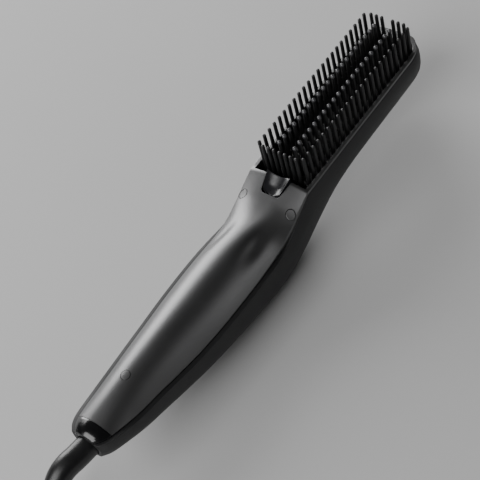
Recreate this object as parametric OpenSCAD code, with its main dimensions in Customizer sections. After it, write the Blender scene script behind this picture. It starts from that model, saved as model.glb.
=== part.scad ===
// Heated styling comb: a hand-held hot comb with a pull-off bristle frame,
// two rows of heated teeth, push buttons on its back and a swivelling mains lead.
// +X runs along the head towards its tip, +Y to the left, +Z up along the bristles.
// The origin is under the middle of the comb's length, on the surface it lies on.

/* [Comb] */
// Distance from one bristle to the next along the head
tooth_pitch = 4; // [3.6:0.1:4.8]
// Bristles in each long outer row
bristles_per_row = 23; // [17:1:27]
// Distance between the two long outer rows
outer_rows_apart = 24; // [21:0.5:28]
// Distance between the two rows of heated teeth
inner_rows_apart = 8.4; // [7:0.2:9.6]
// Bristle length above the frame
bristle_length = 19.6; // [16:0.2:23]
// Bristle diameter at its root
bristle_root_d = 1.9; // [1.4:0.1:2.2]
// Bristle diameter at its tip
bristle_tip_d = 1.3; // [0.9:0.1:1.5]
// Diameter of the cool bead on each heated tooth
bead_d = 2.2; // [1.8:0.1:2.6]
// How far the beads stand below the bristle tips
bead_drop = 0.8; // [0.4:0.1:3]
// Thickness of the bristle frame
frame_thick = 2.2; // [1.8:0.1:3]

/* [Head] */
// Width of the head across its rim
head_w = 31.6; // [30.4:0.4:38]
// Depth of the head from its rim to its back
head_depth = 20; // [18.5:0.5:26]
// How far the sides of the head swell past its rim
head_flare = 1.5; // [0.5:0.1:2.5]
// Length of head past the last long-row bristle
tip_margin = 8.3; // [7.6:0.1:12]
// Height of the bristle frame below the rim
frame_recess = 4.9; // [4:0.1:6]

/* [Handle] */
// Length of the handle from the comb's foot to the tail
handle_len = 143.5; // [134:0.5:170]
// Width of the bristle-side shell at its widest
handle_w = 33; // [31:0.5:40]
// Depth from the rim down to the flat that the comb lies on
belly_depth = 38.3; // [36:0.1:46]
// Ledge of the back shell outside the bristle-side shell
ledge = 2.1; // [1:0.1:2.6]
// Thickness of the shell walls
wall = 2; // [1.6:0.1:2.4]

/* [Buttons] */
// Diameter of the round power button
power_d = 10; // [8:0.5:12]
// Length of each temperature button
key_len = 9; // [7:0.5:11]
// Width of each temperature button
key_w = 6; // [5:0.5:8]
// Distance between the button centres
button_pitch = 15; // [13:0.5:17]
// Travel of a button
button_travel = 0.6; // [0.4:0.1:0.8]
// Gap round each button
button_gap = 0.3; // [0.25:0.05:0.5]

/* [Lead] */
// Diameter of the mains lead
lead_d = 6; // [5.4:0.2:6.4]
// Diameter of the strain relief where it leaves the tail
relief_d = 10.8; // [9.6:0.2:11.6]
// Turning clearance of the swivel stem
swivel_fit = 0.05; // [0.02:0.01:0.1]
// Length of the straight runs of the lead's hank
hank_run = 66; // [54:1:66]
// Diameter of a plug pin
plug_pin_d = 4; // [4:0.1:4.8]
// Length of a plug pin
plug_pin_len = 19; // [17:0.5:19]
// Distance between the plug pins
plug_pins_apart = 18; // [17.5:0.1:19]

/* [Hidden] */
$fn = 48;

// Places along the comb, measured from the first bristle and from the bristle tips
comb_run = (bristles_per_row - 1) * tooth_pitch;
tip_x = comb_run + tip_margin;
foot_x = -6.5;
tail_x = foot_x - handle_len;
rim_z = frame_recess - bristle_length;
frame_top = -bristle_length;
floor_z = rim_z - belly_depth;
middle_x = (tip_x + tail_x) / 2;
half_head = head_w / 2;
half_handle = handle_w / 2;
opening_foot = foot_x + 1.2;
frame_gap = 0.25;
skirt_wall = 0.8;
skirt_inset = 1;
rim_inset = skirt_inset + skirt_wall;
frame_tip = comb_run + 3.4;
frame_under = frame_top - frame_thick;
gap = 0.2;
relief_r = relief_d / 2;
bore_r = relief_r + 0.3;
swivel_drop = 12.3;
swivel_z = rim_z - swivel_drop;
stern_wall = 1.35;

// Smooth curve through [place, value] knots
function slope(k, i) = let (n = len(k) - 1, a = max(i - 1, 0), b = min(i + 1, n))
  (k[b][1] - k[a][1]) / (k[b][0] - k[a][0]);
function hermite(k, i, x) =
  let (h = k[i + 1][0] - k[i][0], t = (x - k[i][0]) / h)
  (2 * t^3 - 3 * t^2 + 1) * k[i][1] + (t^3 - 2 * t^2 + t) * h * slope(k, i)
  + (3 * t^2 - 2 * t^3) * k[i + 1][1] + (t^3 - t^2) * h * slope(k, i + 1);
function along(k, x, i = 0) =
  x <= k[0][0] ? k[0][1]
  : i >= len(k) - 1 ? k[len(k) - 1][1]
  : x <= k[i + 1][0] ? hermite(k, i, x)
  : along(k, x, i + 1);

// Outline of the shells along the handle: share of its length, then the value there.
// Half width of the bristle-side shell as a share of handle_w / 2
width_line = [[0, 0.958], [0.1, 0.958], [0.2, 0.965], [0.32, 1], [0.47, 0.985], [0.58, 0.93],
  [0.68, 0.85], [0.77, 0.765], [0.855, 0.69], [0.95, 0.55], [0.98, 0.45],
  [1, (bore_r + stern_wall - ledge) / half_handle]];
// Depth of the bristle-side shell's shoulder below the rim
shoulder_line = [[0, 0.2], [0.035, 2.7], [0.1, 7.6], [0.15, 10.8], [0.2, 12.6], [0.26, 13],
  [0.35, 12.9], [0.58, 12.6], [0.68, 11.6], [0.77, 10.5], [0.855, 9.6], [0.95, 7.4],
  [1, swivel_drop - bore_r]];
// Height of the side under the shoulder, down to the parting line
drop_line = [[0, 1.5], [0.06, 2.4], [0.14, 2.8], [0.22, 1.2], [0.32, 0.6], [1, 0.6]];
// Height of the crown above the rim
crown_line = [[0, 1.5], [0.052, -1.2], [0.085, -2.6], [0.125, -3.2], [0.165, -2.9], [0.21, -1.8],
  [0.27, -0.7], [0.36, -0.2], [0.5, -0.1], [0.66, -0.2], [0.79, -0.9], [0.87, -1.9], [0.95, -3.3],
  [0.985, -4], [1, bore_r + 1.4 - swivel_drop]];
// Roundness of the crown: 2 is a parabola, more is flatter on top with steeper sides
crown_round = [[0, 2.4], [0.05, 3], [0.1, 3], [0.18, 2.3], [0.3, 2.1], [1, 2.1]];
// Ledge as a share of its full width
ledge_line = [[0, 0.06], [0.1, 0.25], [0.2, 0.85], [0.26, 1], [0.9, 1], [1, 1]];
// Swell of the back shell's side past its rim
swell_line = [[0, 2], [0.1, 2], [0.2, 1.1], [0.3, 0.4], [1, 0.2]];
// Depth of the back below the rim, as a share of belly_depth
back_line = [[0, 0.88], [0.04, 0.935], [0.09, 0.985], [0.14, 1.015], [0.2, 1.03], [0.26, 1.02],
  [0.33, 0.985], [0.45, 0.905], [0.61, 0.815], [0.76, 0.71], [0.86, 0.63], [0.95, 0.535],
  [1, (swivel_drop + bore_r + stern_wall) / belly_depth]];
// The same along the head: distance from the foot towards the tip, as a share of the head
head_back_line = [[0, 0.88], [0.06, 0.79], [0.13, 0.69], [0.22, 0.605], [0.35, 0.55], [0.6, 0.53],
  [0.85, 0.52], [0.95, 0.5], [1, 0.46]];
// Half width of the head near its tip: distance from the tip, then share of head_w / 2
tip_line = [[0, 0.5], [0.6, 0.6], [2.4, 0.72], [5.5, 0.87], [8.5, 0.95], [13, 1]];

function on_handle(x) = (foot_x - x) / handle_len;
function on_head(x) = (x - foot_x) / (tip_x - foot_x);
function half_w(x) = x >= foot_x ? half_head * along(tip_line, tip_x - x)
  : let (s = on_handle(x), blend = min(1, s / 0.3))
    along(width_line, s) * (half_handle * blend + half_head / 0.958 * (1 - blend));
function shoulder_z(x) = x >= foot_x ? rim_z : rim_z - along(shoulder_line, on_handle(x)) + 0.2;
function part_z(x) = x >= foot_x ? rim_z - 1.5 : shoulder_z(x) - along(drop_line, on_handle(x));
function crown_z(x) = x >= foot_x ? rim_z + 0.2 + 1.3 * max(0, 1 - max(0, x - opening_foot) / 2)
  : rim_z + along(crown_line, on_handle(x));
function crown_n(x) = x >= foot_x ? 2.4 : along(crown_round, on_handle(x));
function rim_half(x) = half_w(x) + (x >= foot_x ? 0.06 : along(ledge_line, on_handle(x))) * ledge;
function crown_at(x, y) = shoulder_z(x)
  + (crown_z(x) - shoulder_z(x)) * (1 - min(1, abs(y) / half_w(x))^crown_n(x));
function swell(x) = x >= foot_x
  ? head_flare * min(1, (tip_x - x) / 5 + 0.7) + 0.5 * max(0, 1 - (x - foot_x) / 20)
  : along(swell_line, on_handle(x));
function back_z(x) = x >= foot_x
  ? rim_z - min(1, along(head_back_line, on_head(x)) / 0.525) * head_depth
    - max(0, along(head_back_line, on_head(x)) - 0.525) * belly_depth
  : rim_z - along(back_line, on_handle(x)) * belly_depth;

// Stations along the shells
head_stations = [tip_x, tip_x - 0.6, tip_x - 2.4, tip_x - 5, tip_x - 8, tip_x - 12, tip_x - 22,
  comb_run * 0.62, comb_run * 0.44, comb_run * 0.3, comb_run * 0.2, comb_run * 0.12, 5, 0,
  opening_foot + 2, opening_foot, foot_x];
handle_shares = [0.02, 0.045, 0.07, 0.1, 0.13, 0.16, 0.19, 0.22, 0.25, 0.29, 0.34, 0.4, 0.47, 0.54,
  0.61, 0.68, 0.75, 0.81, 0.87, 0.92, 0.95];
tail_shares = [0.972, 0.985, 0.994, 1];
handle_stations = [for (s = handle_shares) foot_x - s * handle_len];
tail_stations = [for (s = tail_shares) foot_x - s * handle_len];
shell_end = foot_x - 0.95 * handle_len;

// Rows of points across the shells: over the crown from the right parting line to the left,
// under the back from the left parting line to the right
arc_steps = 18;
function bow(a, n) = sign(a) * abs(a)^(2 / n);
function crown_row(x, inset) = let (
    w = half_w(x) - inset,
    low = shoulder_z(x),
    high = crown_z(x) - inset,
    n = crown_n(x))
  concat([[x, -w, part_z(x)]],
    [for (i = [0 : arc_steps]) let (t = 180 * i / arc_steps)
      [x, -w * cos(t), max(part_z(x), low + (high - low) * (1 - abs(cos(t))^n))]],
    [[x, w, part_z(x)]]);
function back_row(x, inset) = let (
    w = rim_half(x) - inset,
    wide = w + swell(x),
    top = part_z(x),
    low = back_z(x) + inset,
    mid = top - (top - low) * 0.28)
  concat([[x, w, top]],
    [for (i = [0 : arc_steps]) let (t = 180 * i / arc_steps)
      [x, wide * bow(cos(t), 2.6), max(floor_z + inset, mid + (low - mid) * bow(sin(t), 2.6))]],
    [[x, -w, top]]);
// A row lying flat on the parting line, where a shell is solid
function flat_row(x, half) = let (n = arc_steps + 2)
  [for (j = [0 : n]) [x, half * (1 - 2 * j / n), part_z(x)]];

// A wall between an outer and an inner row of points at each station, closed at both ends
module walled(outer, inner) {
  rings = len(outer);
  n = len(outer[0]);
  function o(r, i) = r * 2 * n + i;
  function q(r, i) = r * 2 * n + n + i;
  points = [for (r = [0 : rings - 1]) each concat(outer[r], inner[r])];
  sides = [for (r = [0 : rings - 2], i = [0 : n - 2]) each [
    [o(r, i), o(r + 1, i), o(r + 1, i + 1)], [o(r, i), o(r + 1, i + 1), o(r, i + 1)],
    [q(r, i), q(r, i + 1), q(r + 1, i + 1)], [q(r, i), q(r + 1, i + 1), q(r + 1, i)]]];
  edges = [for (r = [0 : rings - 2]) each [
    [o(r, 0), q(r, 0), q(r + 1, 0)], [o(r, 0), q(r + 1, 0), o(r + 1, 0)],
    [o(r, n - 1), o(r + 1, n - 1), q(r + 1, n - 1)], [o(r, n - 1), q(r + 1, n - 1), q(r, n - 1)]]];
  z = rings - 1;
  ends = [for (i = [0 : n - 2]) each i < n / 2
    ? [[o(0, i), o(0, i + 1), q(0, i)], [o(0, i + 1), q(0, i + 1), q(0, i)],
      [o(z, i), q(z, i), o(z, i + 1)], [q(z, i), q(z, i + 1), o(z, i + 1)]]
    : [[o(0, i), o(0, i + 1), q(0, i + 1)], [o(0, i), q(0, i + 1), q(0, i)],
      [o(z, i), q(z, i), q(z, i + 1)], [o(z, i), q(z, i + 1), o(z, i + 1)]]];
  polyhedron(points, concat(sides, edges, ends), convexity = 8);
}

// A solid through one row of points at each station; rows run left to right over one side
module filled(rows) {
  rings = len(rows);
  n = len(rows[0]);
  sides = [for (r = [0 : rings - 2], i = [0 : n - 2]) each [
    [r * n + i, (r + 1) * n + i, (r + 1) * n + i + 1],
    [r * n + i, (r + 1) * n + i + 1, r * n + i + 1]]];
  closing = [for (r = [0 : rings - 2]) each [
    [r * n + n - 1, (r + 1) * n + n - 1, (r + 1) * n], [r * n + n - 1, (r + 1) * n, r * n]]];
  half = floor(n / 2);
  last = (rings - 1) * n;
  caps = [for (i = [0 : half - 1]) let (a = i, b = i + 1, c = n - 2 - i, d = n - 1 - i) each
    (b < c ? [[a, b, c], [a, c, d], [last + a, last + c, last + b], [last + a, last + d, last + c]]
      : b == c ? [[a, b, d], [last + a, last + d, last + b]] : [])];
  polyhedron([for (row = rows) each row], concat(sides, closing, caps), convexity = 8);
}

// Outline of the head seen from above, moved inwards, from its foot round the tip and back
tip_steps = [13, 10.5, 8.5, 7, 5.5, 4, 2.4, 1.2, 0.6, 0];
function inward(p, d) = [for (i = [0 : len(p) - 1]) let (
    a = p[max(i - 1, 0)],
    b = p[min(i + 1, len(p) - 1)],
    t = (b - a) / norm(b - a))
  p[i] + d * [t[1], -t[0]]];
function head_outline(from, inset) = let (
    left = concat([[from, half_head]], [for (s = tip_steps) [tip_x - s, half_w(tip_x - s)]]),
    right = [for (i = [len(left) - 1 : -1 : 0]) [left[i][0], -left[i][1]]])
  inward(concat(left, right), inset);
module head_plate(from, inset, low, high) {
  translate([0, 0, low]) linear_extrude(high - low) polygon(head_outline(from, inset));
}

// A round tube through points in space, with its radius at each point
function unit(v) = v / norm(v);
function headings(p) = [for (i = [0 : len(p) - 1])
  unit(p[min(i + 1, len(p) - 1)] - p[max(i - 1, 0)])];
function carried(d, u, i = 0) = i >= len(d) ? [] : let (w = unit(u - (u * d[i]) * d[i]))
  concat([w], carried(d, w, i + 1));
module tube(p, r, sides = 10) {
  n = len(p);
  d = headings(p);
  u = carried(d, [0, 0.01, 1]);
  points = [for (i = [0 : n - 1], k = [0 : sides - 1]) let (a = 360 * k / sides)
    p[i] + r[i] * (cos(a) * u[i] + sin(a) * cross(d[i], u[i]))];
  walls = [for (i = [0 : n - 2], k = [0 : sides - 1]) let (m = (k + 1) % sides) each [
    [i * sides + k, (i + 1) * sides + k, (i + 1) * sides + m],
    [i * sides + k, (i + 1) * sides + m, i * sides + m]]];
  first = [for (k = [0 : sides - 1]) k];
  end = [for (k = [sides - 1 : -1 : 0]) (n - 1) * sides + k];
  polyhedron(points, concat(walls, [end, first]), convexity = 6);
}

// Everything below is drawn from the first bristle and the bristle tips, then set in place
module in_place() { translate([-middle_x, 0, -floor_z]) children(); }
module along_x(x) { translate([x, 0, 0]) rotate([0, 90, 0]) children(); }
module at_each(places) { for (p = places) translate(p) children(); }
module post(r, low, high) { translate([0, 0, low]) cylinder(r = r, h = high - low); }
module block(x, y, z) {
  translate([x[0], y[0], z[0]]) cube([x[1] - x[0], y[1] - y[0], z[1] - z[0]]);
}
module slab(x, half, z) { block(x, [-half, half], z); }

// Levels inside the head
plate_top = frame_top - 1;
plate_low = plate_top - 2;
ptc_low = plate_low - 2.2;
sheet_low = ptc_low - 0.4;
clamp_low = sheet_low - 1;
pocket_low = clamp_low - 3.3;
carrier_low = pocket_low - 1;
flange_low = frame_under - 2.2;
plate_foot = 1.5;
plate_end = comb_run - 1.5;
plate_half = 6.9;
ptc_half = 5.4;
carrier_screw_y = 10.6;
carrier_screw_places = [for (x = [6, comb_run - 6], side = [1, -1]) [x, side * carrier_screw_y, 0]];
clip_places = [[0.22 * comb_run, 1], [0.22 * comb_run, -1], [0.76 * comb_run, 1], [0.76 * comb_run, -1]];

// Screws that hold the shells together, under their round plugs
neck_screw_x = foot_x - 11;
neck_screw_y = half_head - 2.5;
tail_screw_x = foot_x - 0.79 * handle_len;
plug_r = 2.1;
plug_drop = 1.2;
head_r = 1.8;
shank_r = 1;
neck_seat = part_z(neck_screw_x) + 1;
tail_seat = part_z(tail_screw_x) + 2;
shell_screw_places = [[neck_screw_x, neck_screw_y, neck_seat], [neck_screw_x, -neck_screw_y, neck_seat],
  [tail_screw_x, 0, tail_seat]];

// The buttons, display and board share one slope, square to the back of the handle
window_size = [16, 10];
plus_x = 0;
window_x = plus_x + key_w / 2 + window_size[0] / 2 + 6;
minus_x = plus_x - button_pitch + 2;
power_x = minus_x - button_pitch;
board_x = [power_x - power_d / 2 - 2.5, window_x + window_size[0] / 2 + 6.5];
panel_x = foot_x - 0.5 * handle_len - 2 - (board_x[0] + board_x[1]) / 2;
panel_z = back_z(panel_x);
panel_slope = atan((back_z(panel_x - 22) - back_z(panel_x + 22)) / 44);
module on_panel() { translate([panel_x, 0, panel_z]) rotate([0, panel_slope, 0]) children(); }
function panel_point(x, y, z) = [panel_x + x * cos(panel_slope) + z * sin(panel_slope), y,
  panel_z - x * sin(panel_slope) + z * cos(panel_slope)];
function skin(x) = (back_z(panel_x + x * cos(panel_slope)) - panel_z + x * sin(panel_slope))
  * cos(panel_slope);
button_proud = 0.6;
flange_at = wall + 1;
board_at = 9;
board_thick = 1.6;
board_top = board_at + board_thick;
board_half = 10;
switch_high = 3.5;
stem_r = 1.1;
board_posts = [for (side = [1, -1]) each
  [[board_x[1] - 3, side * 8, 0], [board_x[0] + 2.5, side * 7.6, 0]]];

// The swivel at the tail
stem_out_r = 4;
bush_r = 6;
bush_x = [shell_end + 3.4, shell_end + 10.4];
ring_x = [bush_x[1] + 3.2, bush_x[1] + 7.2];
stem_end = ring_x[1] + 2.4;
relief_start = tail_x + 3.4;
throat = 4.2 * handle_len / 143.5;
holder_x = [ring_x[0] - 1.5, ring_x[1] + 1.5];
blade_y = 5.4;
blade_low = max(swivel_z - bush_r - 3, back_z(ring_x[0]) + wall + 0.8);

// The strain relief leaves straight, leans to the left and bends down to the lead's level
relief_from = tail_x + 0.5;
relief_bends = [[-11.5, 1.7, 0], [-15.1, 2.1, -0.5], [-18.5, 2.2, -1.9], [-21.4, 2, -4.1],
  [-23.6, 1.6, -7], [-25.5, 1, -10.2], [-29.3, -0.2, -15.2], [-34.3, -1.4, -19], [-40.1, -2, -21.4],
  [-46.3, -2, -22.1]];
relief_points = concat([[relief_start, 0, swivel_z], [relief_from, 0, swivel_z],
    [relief_from - 4, 0.4, swivel_z], [relief_from - 8, 1, swivel_z]],
  [for (b = relief_bends) [relief_from + b[0], b[1], swivel_z + b[2]]],
  [[relief_from - 50, -2, swivel_z - 22.1]]);
relief_taper = [0, 0, 0, 0, 0, 0.06, 0.12, 0.2, 0.28, 0.4, 0.56, 0.7, 0.82, 0.94, 1];
relief_radii = [for (share = relief_taper) relief_r + share * (lead_d / 2 + 0.8 - relief_r)];
lead_from = relief_points[len(relief_points) - 1];

// The lead lies on the surface and bends round into a tied hank, and its plug lies on the hank
lead_r = lead_d / 2;
lead_z = floor_z + lead_r;
hank_r = 21; // middle of the bundle in a fold
hank_wide = 12; // two windings beside each other
hank_high = 18; // three windings on top of each other
bend_r = 27;
outer_turn_r = hank_r + hank_wide / 2 - lead_r;
bend_x = lead_from[0] - 11.5;
hank_y = lead_from[1] - 6;
join = acos((bend_r + lead_from[1] - hank_y) / (bend_r + outer_turn_r));
hank_x = bend_x - (bend_r + outer_turn_r) * sin(join);
function fold_point(r, angle, z) = [hank_x + r * cos(angle), hank_y + r * sin(angle), z];
lead_points = concat([lead_from, lead_from + [-3, 0, 0], lead_from + [-7.5, 0, -0.55]],
  [for (k = [0 : 6]) let (a = join * k / 6)
    [bend_x - bend_r * sin(a), lead_from[1] + bend_r * (1 - cos(a)), lead_z + 0.2]],
  [for (k = [1, 2]) fold_point(outer_turn_r - 1.5 * k, 90 - join + 8 * k, lead_z + 0.2)]);
plug_half = [17.5, 7];
plug_z = floor_z + hank_high + plug_half[1];
// The last winding lies on the near fold, and leaves its run in two equal bends towards the plug
over_z = floor_z + hank_high + lead_r;
inner_r = hank_r - hank_wide / 2 + lead_r;
leave_bend_r = 33;
leave_angle = acos(1 - inner_r / (2 * leave_bend_r));
leave_x = hank_x - 0.5;
neck_x = leave_x - 2 * leave_bend_r * sin(leave_angle);
plug_x = neck_x - 3.7;
sink = 0.3; // how far the last winding is pressed into the one below
low_z = over_z - sink;
function rise(s) = low_z + (plug_z - low_z) * s * s * (3 - 2 * s);
plug_lead_points = concat(
  [for (k = [0 : 3]) [hank_x - 32 + 8 * k, hank_y - inner_r, low_z - 5.5 + 5.5 * k / 4]],
  [for (k = [0 : 12]) fold_point(inner_r, -90 + 15 * k, low_z)],
  [for (k = [0 : 5]) let (a = leave_angle * k / 5)
    [leave_x - leave_bend_r * sin(a),
      hank_y + inner_r - leave_bend_r * (1 - cos(a)), rise(k / 10)]],
  [for (k = [4 : -1 : 0]) let (a = leave_angle * k / 5)
    [neck_x + leave_bend_r * sin(a), hank_y + leave_bend_r * (1 - cos(a)), rise(1 - k / 10)]],
  [[plug_x, hank_y, plug_z]]);

module shell_screw_bosses(low, high) {
  at_each([for (p = shell_screw_places) [p[0], p[1], 0]]) post(2.8, low, high);
}

module comb_opening() {
  intersection() {
    head_plate(opening_foot, rim_inset, -40, 0);
    slab([opening_foot, frame_tip + frame_gap], head_w, [-41, 1]);
  }
}

module thumb_notch() {
  translate([0, 0, -40]) linear_extrude(40)
    polygon([[opening_foot + 0.1, 6.8], [foot_x - 7.8, 4.9], [foot_x - 7.8, -4.9],
      [opening_foot + 0.1, -6.8]]);
}

// Satin gunmetal shell on the bristle side, with the rim that frames the comb
module front_shell() {
  xs = concat(head_stations, handle_stations);
  head_rows = len(head_stations);
  color("dimgray") difference() {
    union() {
      walled([for (x = xs) crown_row(x, 0)],
        [for (i = [0 : len(xs) - 1]) i < head_rows
          ? flat_row(xs[i], 0.5 - half_w(xs[i])) : crown_row(xs[i], wall)]);
      head_plate(opening_foot - 1, skirt_inset, frame_top, rim_z - 0.7);
      intersection() {
        filled([for (x = xs) crown_row(x, 0.4)]);
        shell_screw_bosses(-60, 0);
      }
      translate([tail_screw_x, 0, 0]) post(2.8, part_z(tail_screw_x) - 1, crown_z(tail_screw_x) - 1);
    }
    comb_opening();
    thumb_notch();
    at_each(shell_screw_places) {
      post(plug_r, 0, 20);
      post(shank_r + 0.2, -6, 1);
    }
  }
}

// Near-black shell on the back, closed round the tip and the tail
module back_shell() {
  xs = concat(head_stations, handle_stations, tail_stations);
  last = len(xs) - 1;
  color("#1e1e20") difference() {
    union() {
      walled([for (x = xs) back_row(x, 0)],
        [for (i = [0 : last]) i < 3 || i > last - 3
          ? flat_row(xs[i], rim_half(xs[i]) - wall) : back_row(xs[i], wall)]);
      intersection() {
        filled([for (x = xs) back_row(x, 0.7)]);
        union() {
          at_each(carrier_screw_places) post(2.1, -60, flange_low);
          for (p = shell_screw_places) translate([p[0], p[1], 0])
            post(2.8, -60, part_z(p[0]) - (p[1] == 0 ? 1 : 0));
          on_panel() at_each(board_posts) post(2.2, -2, board_at);
          slab([bush_x[0] + 2, bush_x[0] + 5], half_handle, [-60, swivel_z]);
          block(holder_x, [blade_y + 0.5, blade_y + 3.3], [-60, swivel_z - bush_r - 0.5]);
        }
      }
    }
    head_plate(opening_foot - 1.5, skirt_inset - gap, frame_top - 0.3, rim_z);
    at_each(carrier_screw_places) post(shank_r, flange_low - 6, 0);
    at_each([for (p = shell_screw_places) [p[0], p[1], part_z(p[0])]]) post(shank_r, -9, 1);
    on_panel() {
      at_each(board_posts) post(shank_r, board_at - 6, board_at + 1);
      translate([window_x, 0, -5]) window_outline(5 + flange_at + 1, gap);
      for (x = [plus_x, minus_x]) translate([x, 0, -5]) key_outline(5 + flange_at, button_gap);
      translate([power_x, 0, 0]) post(power_d / 2 + button_gap, -5, flange_at);
    }
    along_x(bush_x[0] - 1) translate([-swivel_z, 0, 0]) cylinder(r = bush_r, h = 12);
    along_x(tail_x - 2) translate([-swivel_z, 0, 0]) cylinder(r = bore_r, h = 2 + throat);
  }
}

module window_outline(high, out) {
  translate([-window_size[0] / 2 - out, -window_size[1] / 2 - out, 0])
    cube([window_size[0] + 2 * out, window_size[1] + 2 * out, high]);
}
module key_outline(high, out) {
  r = key_w / 2 + out;
  reach = (key_len - key_w) / 2;
  linear_extrude(high) union() {
    translate([0, reach]) circle(r);
    translate([0, -reach]) circle(r);
    translate([-r, -reach]) square([2 * r, 2 * reach]);
  }
}

// Black frame with the long bristles, its thumb tab and clips
module bristle() {
  rotate_extrude($fn = 24) polygon([[0, -1], [bristle_root_d / 2, -1], [bristle_root_d / 2, 0],
    [bristle_tip_d / 2, bristle_length - 0.5], [bristle_tip_d / 4, bristle_length], [0, bristle_length]]);
}
bristle_places = concat(
  [for (n = [0 : bristles_per_row - 1], side = [1, -1]) [n * tooth_pitch, side * outer_rows_apart / 2]],
  [for (k = [-3 : 3]) [-1.45, 3 * k]],
  [for (k = [1 : 3], side = [1, -1]) [comb_run + 1.5, side * 3 * k]]);
module thumb_tab() {
  tab_top = frame_top + 8.7;
  tab_end = frame_top + 3.5;
  x = [foot_x + 1.5, foot_x - 7.2];
  polyhedron([
      [x[0], 6.2, frame_under], [x[0], -6.2, frame_under], [x[1], -4.4, frame_under],
      [x[1], 4.4, frame_under], [x[0], 6.2, tab_top], [x[0], -6.2, tab_top], [x[1], -4.4, tab_end],
      [x[1], 4.4, tab_end]],
    [[0, 3, 2, 1], [4, 5, 6, 7], [0, 1, 5, 4], [1, 2, 6, 5], [2, 3, 7, 6], [3, 0, 4, 7]]);
}
module bristle_frame() {
  color("black") union() {
    difference() {
      intersection() {
        head_plate(opening_foot + frame_gap, rim_inset + frame_gap, frame_under, frame_top);
        slab([opening_foot, frame_tip], head_w, [-40, 0]);
      }
      slab([plate_foot - 0.7, plate_end + 0.7], plate_half + 0.7, [-40, 0]);
    }
    thumb_tab();
    for (p = bristle_places) translate([p[0], p[1], frame_top]) bristle();
    for (p = clip_places) translate([p[0] - 3, p[1] * 10.4 - 0.8, frame_under - 5])
      cube([6, 1.6, 5.5]);
  }
}

// Heated plate with its two rows of teeth
tooth_places = [for (n = [1 : bristles_per_row - 2], side = [1, -1])
  [n * tooth_pitch + 0.4, side * inner_rows_apart / 2]];
bead_z = -bead_drop - bead_d / 2;
pin_r = 0.5;
module heater_plate() {
  color("dimgray") union() {
    slab([plate_foot, plate_end], plate_half, [plate_low, plate_top]);
    for (p = tooth_places) translate([p[0], p[1], plate_top - 0.5]) {
      cylinder(r1 = 1.2, r2 = 0.8, h = bead_z - bead_d / 2 - plate_top + 0.5, $fn = 24);
      cylinder(r = pin_r, h = bead_z - plate_top + 0.5, $fn = 24);
    }
  }
}

// Cool beads on the ends of the heated teeth
module tooth_beads() {
  color("gray") for (p = tooth_places) translate([p[0], p[1], bead_z]) difference() {
    sphere(d = bead_d, $fn = 24);
    translate([0, 0, -bead_d]) cylinder(r = pin_r, h = bead_d, $fn = 24);
    translate([0, 0, -bead_d]) cylinder(r = bead_d, h = bead_d / 2 + 0.01);
  }
}

// Four ceramic heating stones
ptc_run = (plate_end - plate_foot - 5) / 4;
module ptc_heaters() {
  color("white") for (k = [0 : 3]) translate([plate_foot + 2.5 + k * ptc_run, -ptc_half, ptc_low])
    cube([ptc_run - 2, 2 * ptc_half, plate_low - ptc_low]);
}
module insulation_sheet() {
  color("tan") slab([plate_foot + 1, plate_end - 1], 6.2, [sheet_low, ptc_low]);
}
module heater_clamp() {
  color("silver") difference() {
    slab([plate_foot + 1.5, plate_end - 1.5], 6, [clamp_low, sheet_low]);
    for (k = [1 : 3]) translate([plate_foot + 1.5 + k * ptc_run, 0, 0]) post(1.5, clamp_low - 1, sheet_low + 1);
  }
}

// Heatproof tray that carries the heated plate and the bristle frame
module heater_carrier() {
  color("ivory") difference() {
    union() {
      intersection() {
        head_plate(foot_x + 2, rim_inset + 0.6, flange_low, frame_under);
        slab([foot_x + 2, frame_tip - 0.4], head_w, [-40, 0]);
      }
      slab([plate_foot - 1.4, plate_end + 1.4], plate_half + 1.3, [carrier_low, flange_low + 1]);
    }
    difference() {
      slab([plate_foot + 0.4, plate_end - 0.4], plate_half - 0.3, [pocket_low, 0]);
      for (x = [24, 64]) slab([x * comb_run / 88, x * comb_run / 88 + 2], head_w, [-40, clamp_low]);
    }
    slab([plate_foot - 0.3, plate_end + 0.3], plate_half + 0.3, [plate_low, 0]);
    at_each(carrier_screw_places) {
      post(shank_r + 0.2, -40, 0);
      post(1.9, frame_under - 1.2, 0);
    }
    for (p = clip_places) translate([p[0] - 3.4, p[1] * 10.4 - 1.1, -40]) cube([6.8, 2.2, 40]);
    for (side = [1, -1]) translate([0, side * 3.6, ptc_low + 1.1])
      along_x(foot_x) cylinder(r = 1.1, h = plate_foot + 1.5 - foot_x);
  }
}

// Screws of the carrier and of the board
module screw(long) {
  post(head_r - 0.1, 0, 1.1);
  post(shank_r, -long, 0.5);
}
module carrier_screws() {
  color("silver") at_each([for (p = carrier_screw_places) [p[0], p[1], frame_under - 1.2]]) screw(6);
}
module board_screws() {
  color("silver") on_panel() at_each([for (p = board_posts) [p[0], p[1], board_top]]) screw(6);
}
module shell_screws() {
  color("silver") at_each(shell_screw_places) screw(8);
}

// Round plugs over the shell screws, cut to the shell's surface
module screw_plugs() {
  xs = handle_stations;
  color("dimgray") for (p = shell_screw_places) intersection() {
    filled([for (x = xs) if (abs(x - p[0]) < 12) crown_row(x, 0)]);
    translate([p[0], p[1], 0]) post(plug_r, (p[1] == 0 ? crown_z(p[0]) - 1.6 : p[2] + plug_drop), 0);
  }
}

module thermal_fuse() {
  color("white") {
    translate([0, 2.4, clamp_low - 1.5]) along_x(32 * comb_run / 88) cylinder(r = 1.5, h = 9);
  }
}
module temperature_sensor() {
  color("orange") translate([46 * comb_run / 88, -2.4, clamp_low - 1.2]) sphere(r = 1.2);
}

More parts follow.
